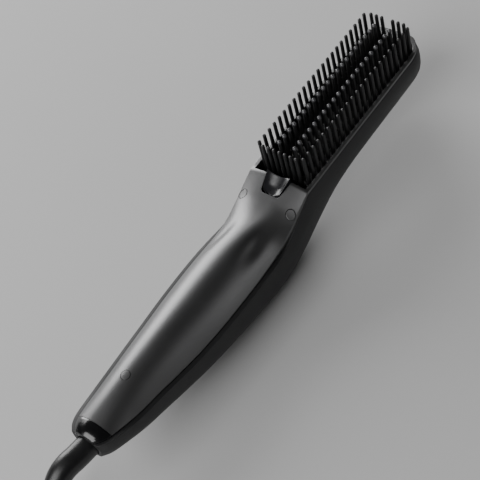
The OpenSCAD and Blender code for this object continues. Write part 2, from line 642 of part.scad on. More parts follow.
// Two wires from the heated plate to the board
module heater_leads() {
  end = panel_point(board_x[1] - 6.5, 0, board_top);
  over = panel_point(board_x[1] - 6.5, 0, board_top + 4);
  color("firebrick") for (y = [3.6, -3.6]) tube([
      [plate_foot + 2.5, y, ptc_low + 1.1], [foot_x + 3, y, ptc_low + 1.1],
      [foot_x - 7, y, ptc_low - 0.4], [foot_x - 18, y, ptc_low - 3], [foot_x - 30, y, ptc_low - 5],
      [foot_x - 38, y, ptc_low - 6.4], [over[0] + 4, y, over[2] + 3], [over[0] + 1.2, y, over[2] + 1.8],
      [over[0], y, over[2]], [end[0], y, end[2]]],
    [for (k = [0 : 9]) 0.8], 8);
}

module control_board() {
  color("darkgreen") on_panel() difference() {
    slab(board_x, board_half, [board_at, board_top]);
    at_each(board_posts) post(shank_r + 0.1, 0, 20);
  }
}
module relay() {
  color("royalblue") on_panel() slab([board_x[1] - 29, board_x[1] - 11], 6, [board_top, board_top + 11]);
}
module film_capacitor() {
  color("gold") on_panel() slab([board_x[1] - 45, board_x[1] - 34], 6.5, [board_top, board_top + 9]);
}
module control_chip() {
  color("black") on_panel() slab([board_x[0] + 8.5, board_x[0] + 16.5], 4, [board_top, board_top + 1.5]);
}
module tact_switches() {
  color("gray") on_panel() for (x = [plus_x, minus_x, power_x]) difference() {
    slab([x - 3, x + 3], 3, [board_at - switch_high, board_at]);
    translate([x, 0, 0]) post(stem_r + 0.4, 0, board_at - switch_high + 1.6);
  }
}
module display_module() {
  color("black") on_panel() slab([window_x - 9.5, window_x + 9.5], 6, [flange_at + 1.4, board_at]);
}
module display_window() {
  color("darkslategray") on_panel() translate([window_x, 0, skin(window_x) - 0.1])
    window_outline(flange_at + 1.3 - skin(window_x), 0);
}

// The push buttons, each with a flange behind the shell and a stem into its switch
module button_stem(x) {
  post(stem_r, skin(x) + flange_at, board_at - switch_high + 0.3);
}
module power_button() {
  color("black") on_panel() translate([power_x, 0, 0]) {
    post(power_d / 2, skin(power_x) - button_proud, flange_at + 1);
    post(power_d / 2 + 1, flange_at, flange_at + 1);
    button_stem(power_x);
  }
}
module key(x) {
  translate([x, 0, skin(x) - button_proud]) key_outline(flange_at + 1 + button_proud - skin(x), 0);
  translate([x, 0, flange_at]) key_outline(1, 1);
  translate([x, 0, 0]) button_stem(x);
}
module plus_button() { color("black") on_panel() key(plus_x); }
module minus_button() { color("black") on_panel() key(minus_x); }

// Glossy cap that closes the tail above the strain relief
module tail_cap() {
  color("black") difference() {
    filled([for (x = concat([shell_end - 0.15], tail_stations)) crown_row(x, 0)]);
    along_x(tail_x - 2) translate([-swivel_z, 0, 0]) cylinder(r = bore_r, h = 12);
  }
}

// Bearing of the swivel and the moulded stem that turns in it
module swivel_bush() {
  color("ivory") along_x(bush_x[0]) translate([-swivel_z, 0, 0]) difference() {
    cylinder(r = bush_r, h = bush_x[1] - bush_x[0]);
    translate([0, 0, -1]) cylinder(r = stem_out_r + swivel_fit, h = 20);
  }
}
module swivel_stem() {
  color("dimgray") translate([0, 0, swivel_z]) {
    along_x(relief_start) cylinder(r = stem_out_r, h = ring_x[0] - 1 - relief_start);
    along_x(ring_x[0] - 1.2) cylinder(r = 3.6, h = stem_end - ring_x[0] + 1.2);
    along_x(bush_x[0] - 1.8) cylinder(r = 5, h = 1.6);
    along_x(bush_x[1] + 0.2) cylinder(r = 5, h = 1.6);
  }
}
module contact_rings() {
  color("gold") for (x = ring_x) along_x(x - 1) translate([-swivel_z, 0, 0]) difference() {
    cylinder(r = 5, h = 2);
    translate([0, 0, -1]) cylinder(r = 3.6, h = 4);
  }
}
module contact_blades() {
  color("gold") for (x = ring_x)
    block([x - 0.8, x + 0.8], [blade_y, blade_y + 0.5], [blade_low, swivel_z + 2]);
}
module contact_leads() {
  level = swivel_z - bush_r + 0.4;
  places = [[ring_x[0] - 0.5, blade_y + 1.3], [ring_x[1] - 0.5, blade_y - 0.8]];
  end = panel_point(board_x[0], 0, board_at)[0] - 0.1;
  color("firebrick") for (p = places) translate([0, p[1], level])
    along_x(p[0]) cylinder(r = 0.8, h = end - p[0]);
}

// Tapered strain relief and mains lead
module strain_relief() {
  color("black") tube(relief_points, relief_radii, 16);
}
module outside_hank(points) {
  color("black") difference() {
    tube(points, [for (p = points) lead_r], 10);
    at_hank() hank_ring();
  }
}
module lead_run() { outside_hank(lead_points); }
module plug_lead() { outside_hank(plug_lead_points); }

// Hank of the lead, with two folds and two straight runs, narrower under its tie
tie_long = 11;
tie_thick = 1;
module at_hank() { translate([hank_x, hank_y, floor_z]) children(); }
module hank_outline(r) {
  union() {
    circle(r, $fn = 64);
    translate([-hank_run, 0]) circle(r, $fn = 64);
    translate([-hank_run, -r]) square([hank_run, 2 * r]);
  }
}
module hank_ring() {
  linear_extrude(hank_high) difference() {
    hank_outline(hank_r + hank_wide / 2);
    hank_outline(hank_r - hank_wide / 2);
  }
}
module run_section(long, out) {
  translate([-(hank_run + long) / 2, hank_r - hank_wide / 2 - out, -out])
    cube([long, hank_wide + 2 * out, hank_high + 2 * out]);
}
module lead_coil() {
  color("black") at_hank() difference() {
    hank_ring();
    difference() {
      run_section(tie_long, 1);
      run_section(tie_long + 2, -tie_thick);
    }
  }
}
module lead_tie() {
  color("gray") at_hank() difference() {
    run_section(tie_long, 0);
    run_section(tie_long + 2, -tie_thick);
  }
}

// Flat two-pin plug, its pins pointing away from the comb
module plug_body() {
  color("black") translate([plug_x, hank_y, plug_z]) {
    along_x(-9) cylinder(r = 4.5, h = 9);
    slab([-34, -8], plug_half[0], [-plug_half[1], plug_half[1]]);
  }
}
module plug_pins() {
  color("silver") translate([plug_x - 34 - plug_pin_len, hank_y, plug_z])
    for (y = [plug_pins_apart / 2, -plug_pins_apart / 2]) translate([0, y, 0]) along_x(0)
      cylinder(d = plug_pin_d, h = plug_pin_len);
}

in_place() front_shell();
in_place() back_shell();
in_place() bristle_frame();
in_place() heater_plate();
in_place() tooth_beads();
in_place() ptc_heaters();
in_place() insulation_sheet();
in_place() heater_clamp();
in_place() heater_carrier();
in_place() carrier_screws();
in_place() thermal_fuse();
in_place() temperature_sensor();
in_place() heater_leads();
in_place() control_board();
in_place() relay();
in_place() film_capacitor();
in_place() control_chip();
in_place() tact_switches();
in_place() display_module();
in_place() display_window();
in_place() power_button();
in_place() plus_button();
in_place() minus_button();
in_place() board_screws();
in_place() shell_screws();
in_place() screw_plugs();
in_place() tail_cap();
in_place() swivel_bush();
in_place() contact_blades();
in_place() contact_leads();
in_place() swivel_stem();
in_place() contact_rings();
in_place() strain_relief();
in_place() lead_run();
in_place() lead_coil();
in_place() lead_tie();
in_place() plug_lead();
in_place() plug_body();
in_place() plug_pins();
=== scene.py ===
"""Heated styling comb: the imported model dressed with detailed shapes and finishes."""

from __future__ import annotations

import logging
import math
from dataclasses import dataclass, field
from enum import Enum
from typing import Callable, Sequence

import bmesh
import bpy
from mathutils import Matrix, Vector

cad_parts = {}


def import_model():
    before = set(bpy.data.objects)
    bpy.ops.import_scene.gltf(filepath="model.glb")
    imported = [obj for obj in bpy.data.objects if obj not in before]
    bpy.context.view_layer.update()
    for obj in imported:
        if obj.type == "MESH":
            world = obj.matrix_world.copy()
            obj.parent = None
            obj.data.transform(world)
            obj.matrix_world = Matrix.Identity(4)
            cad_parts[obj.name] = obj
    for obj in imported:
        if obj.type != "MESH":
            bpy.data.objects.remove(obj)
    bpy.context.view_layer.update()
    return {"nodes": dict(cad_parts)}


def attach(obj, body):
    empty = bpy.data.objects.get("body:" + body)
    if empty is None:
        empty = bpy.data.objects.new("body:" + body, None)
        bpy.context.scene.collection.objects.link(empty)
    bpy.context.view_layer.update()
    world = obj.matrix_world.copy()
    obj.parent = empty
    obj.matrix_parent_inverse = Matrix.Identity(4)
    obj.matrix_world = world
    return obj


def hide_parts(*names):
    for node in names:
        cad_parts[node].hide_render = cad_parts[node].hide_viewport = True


LOG = logging.getLogger("hot_comb")

# Shapes are drawn in millimetres, then set in place. Their origin lies midway between the first
# bristles of the two long rows, at the height of the bristle tips.
MM = 0.001
ORIGIN = (26.85, 0.0, 53.0)
IN_PLACE = Matrix.Scale(MM, 4) @ Matrix.Translation(ORIGIN)
ALONG_X = Matrix.Rotation(math.pi / 2, 4, "Y")
Knots = Sequence[tuple[float, float]]


# ---------------------------------------------------------------- curves through knots


def smooth_step(value: float) -> float:
    """Eases a share from 0 to 1, flat at both ends."""
    t = min(1.0, max(0.0, value))
    return t * t * (3 - 2 * t)


def slope_at(knots: Knots, i: int) -> float:
    """Slope of the smooth curve at one of its knots."""
    a, b = max(i - 1, 0), min(i + 1, len(knots) - 1)
    return (knots[b][1] - knots[a][1]) / (knots[b][0] - knots[a][0])


def along(knots: Knots, x: float) -> float:
    """Value at x of the smooth curve through the knots.

    Args:
        knots: Pairs of place and value, in rising order of place.
        x: The place asked for; past either end the end's value holds.

    Returns:
        The curve's value.
    """
    if x <= knots[0][0]:
        return knots[0][1]
    for i in range(len(knots) - 1):
        if x <= knots[i + 1][0]:
            step = knots[i + 1][0] - knots[i][0]
            t = (x - knots[i][0]) / step
            return (
                (2 * t**3 - 3 * t**2 + 1) * knots[i][1]
                + (t**3 - 2 * t**2 + t) * step * slope_at(knots, i)
                + (3 * t**2 - 2 * t**3) * knots[i + 1][1]
                + (t**3 - t**2) * step * slope_at(knots, i + 1)
            )
    return knots[-1][1]


def through(points: Sequence[Vector], step: float) -> list[Vector]:
    """Closely spaced points on a smooth curve through the given points.

    Args:
        points: Points that the curve passes through, in order.
        step: Wanted distance between the new points, in millimetres.

    Returns:
        The new points, the first and last of the given ones among them.
    """
    new = [points[0].copy()]
    for i in range(len(points) - 1):
        a, b = points[max(i - 1, 0)], points[i]
        c, d = points[i + 1], points[min(i + 2, len(points) - 1)]
        count = max(1, round((c - b).length / step))
        for k in range(1, count + 1):
            t = k / count
            new.append(
                0.5
                * (
                    2 * b
                    + (c - a) * t
                    + (2 * a - 5 * b + 4 * c - d) * t**2
                    + (3 * b - a - 3 * c + d) * t**3
                )
            )
    return new


# ---------------------------------------------------------------- the comb's outline


@dataclass(frozen=True)
class Outline:
    """Sizes of the comb and the curves that its shells follow along its length."""

    pitch: float = 4.0
    bristles: int = 23
    bristle_length: float = 19.6
    frame_recess: float = 4.9
    frame_thick: float = 2.2
    head_width: float = 31.6
    head_depth: float = 20.0
    head_flare: float = 1.5
    tip_margin: float = 8.3
    handle_length: float = 143.5
    handle_width: float = 33.0
    belly_depth: float = 38.3
    ledge: float = 2.1
    wall: float = 2.0
    foot: float = -6.5
    swivel_drop: float = 12.3
    bore: float = 5.7
    stern_wall: float = 1.35
    rim_inset: float = 1.8
    frame_gap: float = 0.25

    @property
    def run(self) -> float:
        """Place of the last long-row bristle."""
        return (self.bristles - 1) * self.pitch

    @property
    def tip(self) -> float:
        """Place of the head's tip."""
        return self.run + self.tip_margin

    @property
    def tail(self) -> float:
        """Place of the handle's tail."""
        return self.foot - self.handle_length

    @property
    def shell_end(self) -> float:
        """Place where the bristle-side shell ends and the tail cap begins."""
        return self.foot - 0.95 * self.handle_length

    @property
    def opening_foot(self) -> float:
        """Place of the comb opening's edge at the foot."""
        return self.foot + 1.2

    @property
    def opening_tip(self) -> float:
        """Place of the comb opening's edge at the tip."""
        return self.run + 3.4 + self.frame_gap

    @property
    def rim(self) -> float:
        """Height of the head's rim."""
        return self.frame_recess - self.bristle_length

    @property
    def floor(self) -> float:
        """Height of the surface that the comb lies on."""
        return self.rim - self.belly_depth

    @property
    def swivel(self) -> float:
        """Height of the swivel's axis."""
        return self.rim - self.swivel_drop

    def on_handle(self, x: float) -> float:
        """Share of the handle's length from the foot."""
        return (self.foot - x) / self.handle_length

    def half_width(self, x: float) -> float:
        """Half the width of the bristle-side shell at x.

        Args:
            x: Place along the comb.

        Returns:
            The half width.
        """
        half_head, half_handle = self.head_width / 2, self.handle_width / 2
        if x >= self.foot:
            tip = ((0, 0.5), (0.6, 0.6), (2.4, 0.72), (5.5, 0.87), (8.5, 0.95), (13, 1))
            return half_head * along(tip, self.tip - x)
        share = self.on_handle(x)
        blend = min(1.0, share / 0.3)
        end = (self.bore + self.stern_wall - self.ledge) / half_handle
        width = (
            (0, 0.958), (0.1, 0.958), (0.2, 0.965), (0.32, 1), (0.47, 0.985), (0.58, 0.93),
            (0.68, 0.85), (0.77, 0.765), (0.855, 0.69), (0.95, 0.55), (0.98, 0.45), (1, end),
        )
        return along(width, share) * (half_handle * blend + half_head / 0.958 * (1 - blend))

    def shoulder(self, x: float) -> float:
        """Height of the shell's shoulder at x.

        Args:
            x: Place along the comb.

        Returns:
            The height.
        """
        if x >= self.foot:
            return self.rim
        drop = (
            (0, 0.2), (0.035, 2.7), (0.1, 7.6), (0.15, 10.8), (0.2, 12.6), (0.26, 13),
            (0.35, 12.9), (0.58, 12.6), (0.68, 11.6), (0.77, 10.5), (0.855, 9.6), (0.95, 7.4),
            (1, self.swivel_drop - self.bore),
        )
        return self.rim - along(drop, self.on_handle(x)) + 0.2

    def parting(self, x: float) -> float:
        """Height of the line where the two shells meet at x.

        Args:
            x: Place along the comb.

        Returns:
            The height.
        """
        if x >= self.foot:
            return self.rim - 1.5
        side = ((0, 1.5), (0.06, 2.4), (0.14, 2.8), (0.22, 1.2), (0.32, 0.6), (1, 0.6))
        return self.shoulder(x) - along(side, self.on_handle(x))

    def crown(self, x: float) -> float:
        """Height of the shell's crown at x.

        Args:
            x: Place along the comb.

        Returns:
            The height.
        """
        if x >= self.foot:
            return self.rim + 0.2 + 1.3 * max(0.0, 1 - max(0.0, x - self.opening_foot) / 2)
        rise = (
            (0, 1.5), (0.052, -1.2), (0.085, -2.6), (0.125, -3.2), (0.165, -2.9), (0.21, -1.8),
            (0.27, -0.7), (0.36, -0.2), (0.5, -0.1), (0.66, -0.2), (0.79, -0.9), (0.87, -1.9),
            (0.95, -3.3), (0.985, -4), (1, self.bore + 1.4 - self.swivel_drop),
        )
        return self.rim + along(rise, self.on_handle(x))

    def roundness(self, x: float) -> float:
        """Exponent of the crown's section at x: 2 is a parabola, more is flatter on top.

        Args:
            x: Place along the comb.

        Returns:
            The exponent.
        """
        if x >= self.foot:
            return 2.4
        knots = ((0, 2.4), (0.05, 3), (0.1, 3), (0.18, 2.3), (0.3, 2.1), (1, 2.1))
        return along(knots, self.on_handle(x))

    def dimple(self, x: float, y: float) -> float:
        """Depth of the finger rests on the shoulders of the neck.

        Args:
            x: Place along the comb.
            y: Place across it.

        Returns:
            The depth.
        """
        u = (x + 41.0) / 8.0 + (abs(y) - 9.0) / 9.0
        v = (abs(y) - 8.6) / 2.6
        return 1.05 * math.exp(-(u * u) - v * v)

    def crown_at(self, x: float, y: float) -> float:
        """Height of the bristle-side shell's surface.

        Args:
            x: Place along the comb.
            y: Place across it.

        Returns:
            The height, with the finger rests in it.
        """
        share = min(1.0, abs(y) / self.half_width(x))
        low, high = self.shoulder(x), self.crown(x)
        return low + (high - low) * (1 - share ** self.roundness(x)) - self.dimple(x, y)

    def back_half(self, x: float) -> float:
        """Half the width of the back shell at its top edge.

        Args:
            x: Place along the comb.

        Returns:
            The half width.
        """
        knots = ((0, 0.06), (0.1, 0.25), (0.2, 0.85), (0.26, 1), (0.9, 1), (1, 1))
        share = 0.06 if x >= self.foot else along(knots, self.on_handle(x))
        return self.half_width(x) + share * self.ledge

    def swell(self, x: float) -> float:
        """How far the back shell's side stands out past its top edge.

        Args:
            x: Place along the comb.

        Returns:
            The distance on each side.
        """
        if x >= self.foot:
            near_tip = min(1.0, (self.tip - x) / 5 + 0.7)
            return self.head_flare * near_tip + 0.5 * max(0.0, 1 - (x - self.foot) / 20)
        return along(((0, 2), (0.1, 2), (0.2, 1.1), (0.3, 0.4), (1, 0.2)), self.on_handle(x))

    def back(self, x: float) -> float:
        """Height of the back's lowest line at x, before the flat that the comb lies on.

        Args:
            x: Place along the comb.

        Returns:
            The height.
        """
        if x >= self.foot:
            knots = (
                (0, 0.88), (0.06, 0.79), (0.13, 0.69), (0.22, 0.605), (0.35, 0.55), (0.6, 0.53),
                (0.85, 0.52), (0.95, 0.5), (1, 0.46),
            )
            share = along(knots, (x - self.foot) / (self.tip - self.foot))
            depth = min(1.0, share / 0.525) * self.head_depth
            return self.rim - depth - max(0.0, share - 0.525) * self.belly_depth
        end = (self.swivel_drop + self.bore + self.stern_wall) / self.belly_depth
        knots = (
            (0, 0.88), (0.04, 0.935), (0.09, 0.985), (0.14, 1.015), (0.2, 1.03), (0.26, 1.02),
            (0.33, 0.985), (0.45, 0.905), (0.61, 0.815), (0.76, 0.71), (0.86, 0.63),
            (0.95, 0.535), (1, end),
        )
        return self.rim - along(knots, self.on_handle(x)) * self.belly_depth

    def opening_half(self, x: float) -> float:
        """Half the width of the comb opening at x, square to the head's outline."""
        tilt = (self.half_width(x + 0.2) - self.half_width(x - 0.2)) / 0.4
        return self.half_width(x) - self.rim_inset * math.sqrt(1 + tilt * tilt)


FORM = Outline()


# ---------------------------------------------------------------- finishes


def colour(code: str) -> tuple[float, float, float, float]:
    """Linear colour of an sRGB hex code.

    Args:
        code: Six hex digits after a hash sign.

    Returns:
        Red, green, blue and alpha as a shader takes them.
    """
    parts = [int(code[i : i + 2], 16) / 255 for i in (1, 3, 5)]
    linear = [c / 12.92 if c <= 0.04045 else ((c + 0.055) / 1.055) ** 2.4 for c in parts]
    return (linear[0], linear[1], linear[2], 1.0)


def add_node(
    tree: bpy.types.NodeTree, kind: str, links: dict | None = None, **settings: object
) -> bpy.types.Node:
    """Adds a shader node with its settings and links.

    Args:
        tree: The material's node tree.
        kind: The node's type name.
        links: Input sockets by name or number, each with a socket to link or a value to set.
        settings: Properties of the node itself.

    Returns:
        The new node.
    """
    node = tree.nodes.new(kind)
    for key, value in settings.items():
        setattr(node, key, value)
    for key, value in (links or {}).items():
        if isinstance(value, bpy.types.NodeSocket):
            tree.links.new(value, node.inputs[key])
        else:
            node.inputs[key].default_value = value
    return node


class Grain(Enum):
    """How a surface was made, which decides the pattern of its relief."""

    ERODED = "eroded mould"
    POLISHED = "polished mould"
    SPRAYED = "sprayed coat"
    DRAWN = "drawn or extruded"
    TURNED = "turned"
    WOVEN = "woven"
    FIRED = "fired"


# A wave texture draws about this many light and dark bands to a unit at scale 1.
WAVE_BANDS = 6.3


@dataclass(frozen=True)
class Finish:
    """One real material with the way its surface was made."""

    name: str
    tone: str
    shade: str
    rough: tuple[float, float]
    grain: Grain
    grain_mm: float
    relief_mm: float = 0.01
    patch_mm: float = 18.0
    metallic: float = 0.0
    ior: float = 1.5
    coat: float = 0.0
    coat_rough: float = 0.1

    def _pattern(
        self, tree: bpy.types.NodeTree, place: bpy.types.NodeSocket
    ) -> bpy.types.NodeSocket:
        """Height pattern of the finish.

        Args:
            tree: The material's node tree.
            place: Object coordinates, in metres.

        Returns:
            The socket that gives the height, from 0 to 1.
        """
        scale = 1 / (self.grain_mm * MM)
        if self.grain is Grain.DRAWN:
            stretch = add_node(tree, "ShaderNodeMapping", {"Vector": place, "Scale": (0.06, 1, 1)})
            return add_node(
                tree, "ShaderNodeTexNoise", {"Vector": stretch.outputs[0], "Scale": scale, "Detail": 3.0}
            ).outputs["Fac"]
        if self.grain is Grain.TURNED:
            return add_node(
                tree,
                "ShaderNodeTexWave",
                {"Vector": place, "Scale": scale / WAVE_BANDS, "Distortion": 0.6, "Detail": 2.0},
                wave_type="BANDS",
                bands_direction="X",
            ).outputs["Fac"]
        if self.grain is Grain.WOVEN:
            warp, weft = (
                add_node(
                    tree,
                    "ShaderNodeTexWave",
                    {"Vector": place, "Scale": scale / WAVE_BANDS, "Distortion": 0.4},
                    wave_type="BANDS",
                    bands_direction=way,
                ).outputs["Fac"]
                for way in ("Y", "Z")
            )
            return add_node(
                tree, "ShaderNodeMath", {0: warp, 1: weft}, operation="MULTIPLY"
            ).outputs[0]
        if self.grain is Grain.FIRED:
            return add_node(
                tree, "ShaderNodeTexVoronoi", {"Vector": place, "Scale": scale}, feature="SMOOTH_F1"
            ).outputs["Distance"]
        detail = 5.0 if self.grain is Grain.ERODED else 2.0
        return add_node(
            tree, "ShaderNodeTexNoise", {"Vector": place, "Scale": scale, "Detail": detail}
        ).outputs["Fac"]

    def material(self) -> bpy.types.Material:
        """The finish as a node material, made once and then shared.

        Returns:
            The material.
        """
        known = bpy.data.materials.get(self.name)
        if known:
            return known
        made = bpy.data.materials.new(self.name)
        made.use_nodes = True
        tree = made.node_tree
        tree.nodes.clear()
        place = add_node(tree, "ShaderNodeTexCoord").outputs["Object"]
        height = self._pattern(tree, place)
        patches = add_node(
            tree,
            "ShaderNodeTexNoise",
            {"Vector": place, "Scale": 1 / (self.patch_mm * MM), "Detail": 4.0, "Roughness": 0.62},
        ).outputs["Fac"]
        tint = add_node(
            tree,
            "ShaderNodeMix",
            {0: patches, 6: colour(self.tone), 7: colour(self.shade)},
            data_type="RGBA",
        ).outputs[2]
        both = add_node(
            tree, "ShaderNodeMath", {0: patches, 1: height}, operation="MULTIPLY"
        ).outputs[0]
        rough = add_node(
            tree,
            "ShaderNodeMapRange",
            {"Value": both, 1: 0.1, 2: 0.42, 3: self.rough[0], 4: self.rough[1]},
        ).outputs[0]
        bump = add_node(
            tree,
            "ShaderNodeBump",
            {"Height": height, "Distance": self.relief_mm * MM, "Strength": 1.0},
        ).outputs[0]
        shader = add_node(
            tree,
            "ShaderNodeBsdfPrincipled",
            {
                "Base Color": tint,
                "Metallic": self.metallic,
                "Roughness": rough,
                "IOR": self.ior,
                "Coat Weight": self.coat,
                "Coat Roughness": self.coat_rough,
                "Normal": bump,
            },
        ).outputs[0]
        add_node(tree, "ShaderNodeOutputMaterial", {"Surface": shader})
        return made


# Satin gunmetal lacquer on moulded ABS: fine flakes give a broad, soft light band.
SATIN_LACQUER = Finish(
    "satin_gunmetal_lacquer", "#646464", "#6b6b6c", (0.4, 0.46), Grain.SPRAYED, 0.7, 0.0022,
    30.0, metallic=0.95, coat=0.1, coat_rough=0.3,
)
# Near-black ABS from a spark-eroded mould; its grain is drawn coarser than its 0.1 mm.
ERODED_ABS = Finish(
    "eroded_black_abs", "#161617", "#1a1a1b", (0.5, 0.6), Grain.ERODED, 0.7, 0.012, 25.0
)
# Piano-black ABS from a polished mould: clear reflections and faint wiping marks.
POLISHED_ABS = Finish(
    "polished_black_abs", "#0a0a0b", "#0d0d0f", (0.16, 0.24), Grain.POLISHED, 2.5, 0.001, 9.0,
    ior=1.53, coat=0.3, coat_rough=0.14,
)
# Glass-filled nylon of the bristles: satin black with a soft edge light.
BRISTLE_NYLON = Finish(
    "bristle_nylon", "#0b0b0c", "#101011", (0.42, 0.52), Grain.ERODED, 0.8, 0.01, 12.0, ior=1.53
)
# Semi-gloss nylon of the thumb tab, from a polished part of the same mould.
TAB_NYLON = Finish(
    "tab_nylon", "#1c1c1e", "#212124", (0.26, 0.34), Grain.POLISHED, 1.6, 0.001, 8.0,
    ior=1.53, coat=0.25, coat_rough=0.2,
)
# Heatproof resin of the tooth beads: dark grey with a small highlight.
BEAD_RESIN = Finish(
    "bead_resin", "#424244", "#4c4c4e", (0.16, 0.24), Grain.POLISHED, 0.9, 0.004, 5.0, ior=1.55
)
# Black ceramic coat on the cast aluminium of the heated plate: speckled satin.
CERAMIC_COAT = Finish(
    "black_ceramic_coat", "#0c0c0d", "#131314", (0.3, 0.42), Grain.FIRED, 0.9, 0.01, 10.0, ior=1.6
)
# Soft PVC of the lead, extruded: satin black with faint lengthwise lines.
EXTRUDED_PVC = Finish(
    "extruded_black_pvc", "#101011", "#151516", (0.36, 0.48), Grain.DRAWN, 0.8, 0.02, 14.0, ior=1.53
)
# Soft PVC of the strain relief, moulded over the lead.
MOULDED_PVC = Finish(
    "moulded_black_pvc", "#111112", "#161617", (0.32, 0.42), Grain.ERODED, 1.1, 0.01, 14.0, ior=1.53
)
# Woven nylon strap round the hank: matt, with threads 0.8 mm wide.
WOVEN_NYLON = Finish(
    "woven_nylon_strap", "#1c1d1f", "#2a2b2e", (0.75, 0.9), Grain.WOVEN, 0.8, 0.15, 6.0
)
# Nickel-plated brass of the plug pins, turned: bright with fine rings.
NICKEL_PLATE = Finish(
    "nickel_plated_brass", "#c9c5bb", "#bdb8ac", (0.16, 0.26), Grain.TURNED, 0.35, 0.004, 6.0,
    metallic=1.0,
)
# Smoked acrylic of the display window: dark, clear and glossy.
SMOKED_ACRYLIC = Finish(
    "smoked_acrylic", "#0c0e11", "#101318", (0.04, 0.08), Grain.POLISHED, 3.0, 0.001, 7.0,
    ior=1.49, coat=0.5, coat_rough=0.03,
)
# Silicone of the buttons: matt dark grey, slightly powdery.
BUTTON_SILICONE = Finish(
    "button_silicone", "#232326", "#29292c", (0.5, 0.62), Grain.ERODED, 0.6, 0.008, 6.0, ior=1.43
)
# Pad-printed ink of the button marks.
MARK_INK = Finish(
    "grey_pad_ink", "#b4b6ba", "#a8aaae", (0.55, 0.65), Grain.SPRAYED, 0.5, 0.004, 4.0
)

# Finishes of the hidden parts, each CAD node with its own
HIDDEN_FINISHES: dict[str, Finish] = {
    # Barium titanate stones with a silvered face: chalky and pale.
    "ptc_heaters": Finish("ptc_ceramic", "#c8c4b8", "#b9b5aa", (0.6, 0.75), Grain.FIRED, 0.6, 0.02, 5.0),
    # Polyimide film: amber and glossy.
    "insulation_sheet": Finish(
        "polyimide_film", "#a8692a", "#99602a", (0.14, 0.22), Grain.POLISHED, 3.0, 0.004, 9.0, ior=1.7
    ),
    # Stamped steel sheet with lines from its rolling.
    "heater_clamp": Finish(
        "rolled_steel", "#a9aaac", "#9d9ea1", (0.28, 0.4), Grain.DRAWN, 0.4, 0.006, 14.0, metallic=1.0
    ),
    # Glass-filled PPS, heatproof: pale, with fibres near the surface.
    "heater_carrier": Finish(
        "glass_filled_pps", "#cbc4b2", "#beb7a4", (0.5, 0.62), Grain.DRAWN, 0.7, 0.012, 12.0
    ),
    # Zinc-plated steel screws.
    "carrier_screws": Finish(
        "zinc_plate", "#b8bbc0", "#a9adb4", (0.26, 0.36), Grain.TURNED, 0.3, 0.006, 3.0, metallic=1.0
    ),
    # Glazed sleeve of the thermal fuse.
    "thermal_fuse": Finish("fuse_sleeve", "#dcdcd6", "#cfcfc8", (0.3, 0.4), Grain.WOVEN, 0.5, 0.03, 4.0),
    # Dipped resin bead of the sensor.
    "temperature_sensor": Finish(
        "dipped_resin", "#8a3a14", "#7a3010", (0.12, 0.2), Grain.POLISHED, 1.0, 0.005, 2.0, ior=1.55
    ),
    # Silicone-covered wire.
    "heater_leads": Finish("red_silicone", "#7e1c18", "#701714", (0.5, 0.6), Grain.DRAWN, 0.5, 0.01, 8.0),
    # Solder-masked glass laminate with its weave showing through.
    "control_board": Finish(
        "green_laminate", "#123f22", "#0f3a1f", (0.24, 0.34), Grain.WOVEN, 0.6, 0.006, 10.0, ior=1.55
    ),
    # Blue polyester case.
    "relay": Finish("blue_pbt", "#1d3f86", "#1a3878", (0.4, 0.5), Grain.ERODED, 0.5, 0.01, 8.0),
    # Epoxy-filled yellow case.
    "film_capacitor": Finish(
        "yellow_epoxy", "#c69a2a", "#b98f26", (0.22, 0.32), Grain.POLISHED, 1.4, 0.006, 6.0
    ),
    # Moulded epoxy package.
    "control_chip": Finish("chip_epoxy", "#1a1a1a", "#202020", (0.48, 0.6), Grain.ERODED, 0.3, 0.008, 4.0),
    # Switch cases.
    "tact_switches": Finish(
        "switch_nylon", "#2b2b2b", "#333333", (0.42, 0.52), Grain.ERODED, 0.4, 0.008, 4.0
    ),
    # Display case.
    "display_module": Finish(
        "display_case", "#17181a", "#1d1e20", (0.36, 0.46), Grain.ERODED, 0.5, 0.006, 6.0
    ),
    # Acetal bearing, slightly waxy.
    "swivel_bush": Finish(
        "acetal", "#ddd9cd", "#d2cec2", (0.3, 0.4), Grain.TURNED, 0.5, 0.006, 6.0, ior=1.48
    ),
    # Phosphor bronze strip.
    "contact_blades": Finish(
        "phosphor_bronze", "#b98a4a", "#a97b40", (0.22, 0.32), Grain.DRAWN, 0.3, 0.004, 4.0, metallic=1.0
    ),
    # Turned brass rings.
    "contact_rings": Finish(
        "turned_brass", "#c9a45a", "#b9944e", (0.18, 0.28), Grain.TURNED, 0.25, 0.005, 4.0, metallic=1.0
    ),
    # Moulded stem of the swivel.
    "swivel_stem": Finish("stem_nylon", "#242426", "#2b2b2d", (0.4, 0.5), Grain.ERODED, 0.5, 0.008, 6.0),
}
# Parts that share another part's finish
SAME_FINISH = {
    "board_screws": "carrier_screws",
    "shell_screws": "carrier_screws",
    "contact_leads": "heater_leads",
}


# ---------------------------------------------------------------- mesh tools


def add_object(name: str, data: bpy.types.ID) -> bpy.types.Object:
    """Adds an object with the given data to the scene.

    Args:
        name: The object's name.
        data: Its mesh, curve, camera or light.

    Returns:
        The new object.
    """
    made = bpy.data.objects.new(name, data)
    bpy.context.scene.collection.objects.link(made)
    return made


def mesh_object(name: str, mesh: bmesh.types.BMesh) -> bpy.types.Object:
    """Adds a finished mesh to the scene and frees the bmesh it was made in.

    Args:
        name: Name of the object and of its mesh.
        mesh: The shape.

    Returns:
        The new object.
    """
    data = bpy.data.meshes.new(name)
    mesh.to_mesh(data)
    mesh.free()
    return add_object(name, data)


def border_edges(mesh: bmesh.types.BMesh) -> list[bmesh.types.BMEdge]:
    """The edges of an open surface that have one face only."""
    return [e for e in mesh.edges if len(e.link_faces) == 1]


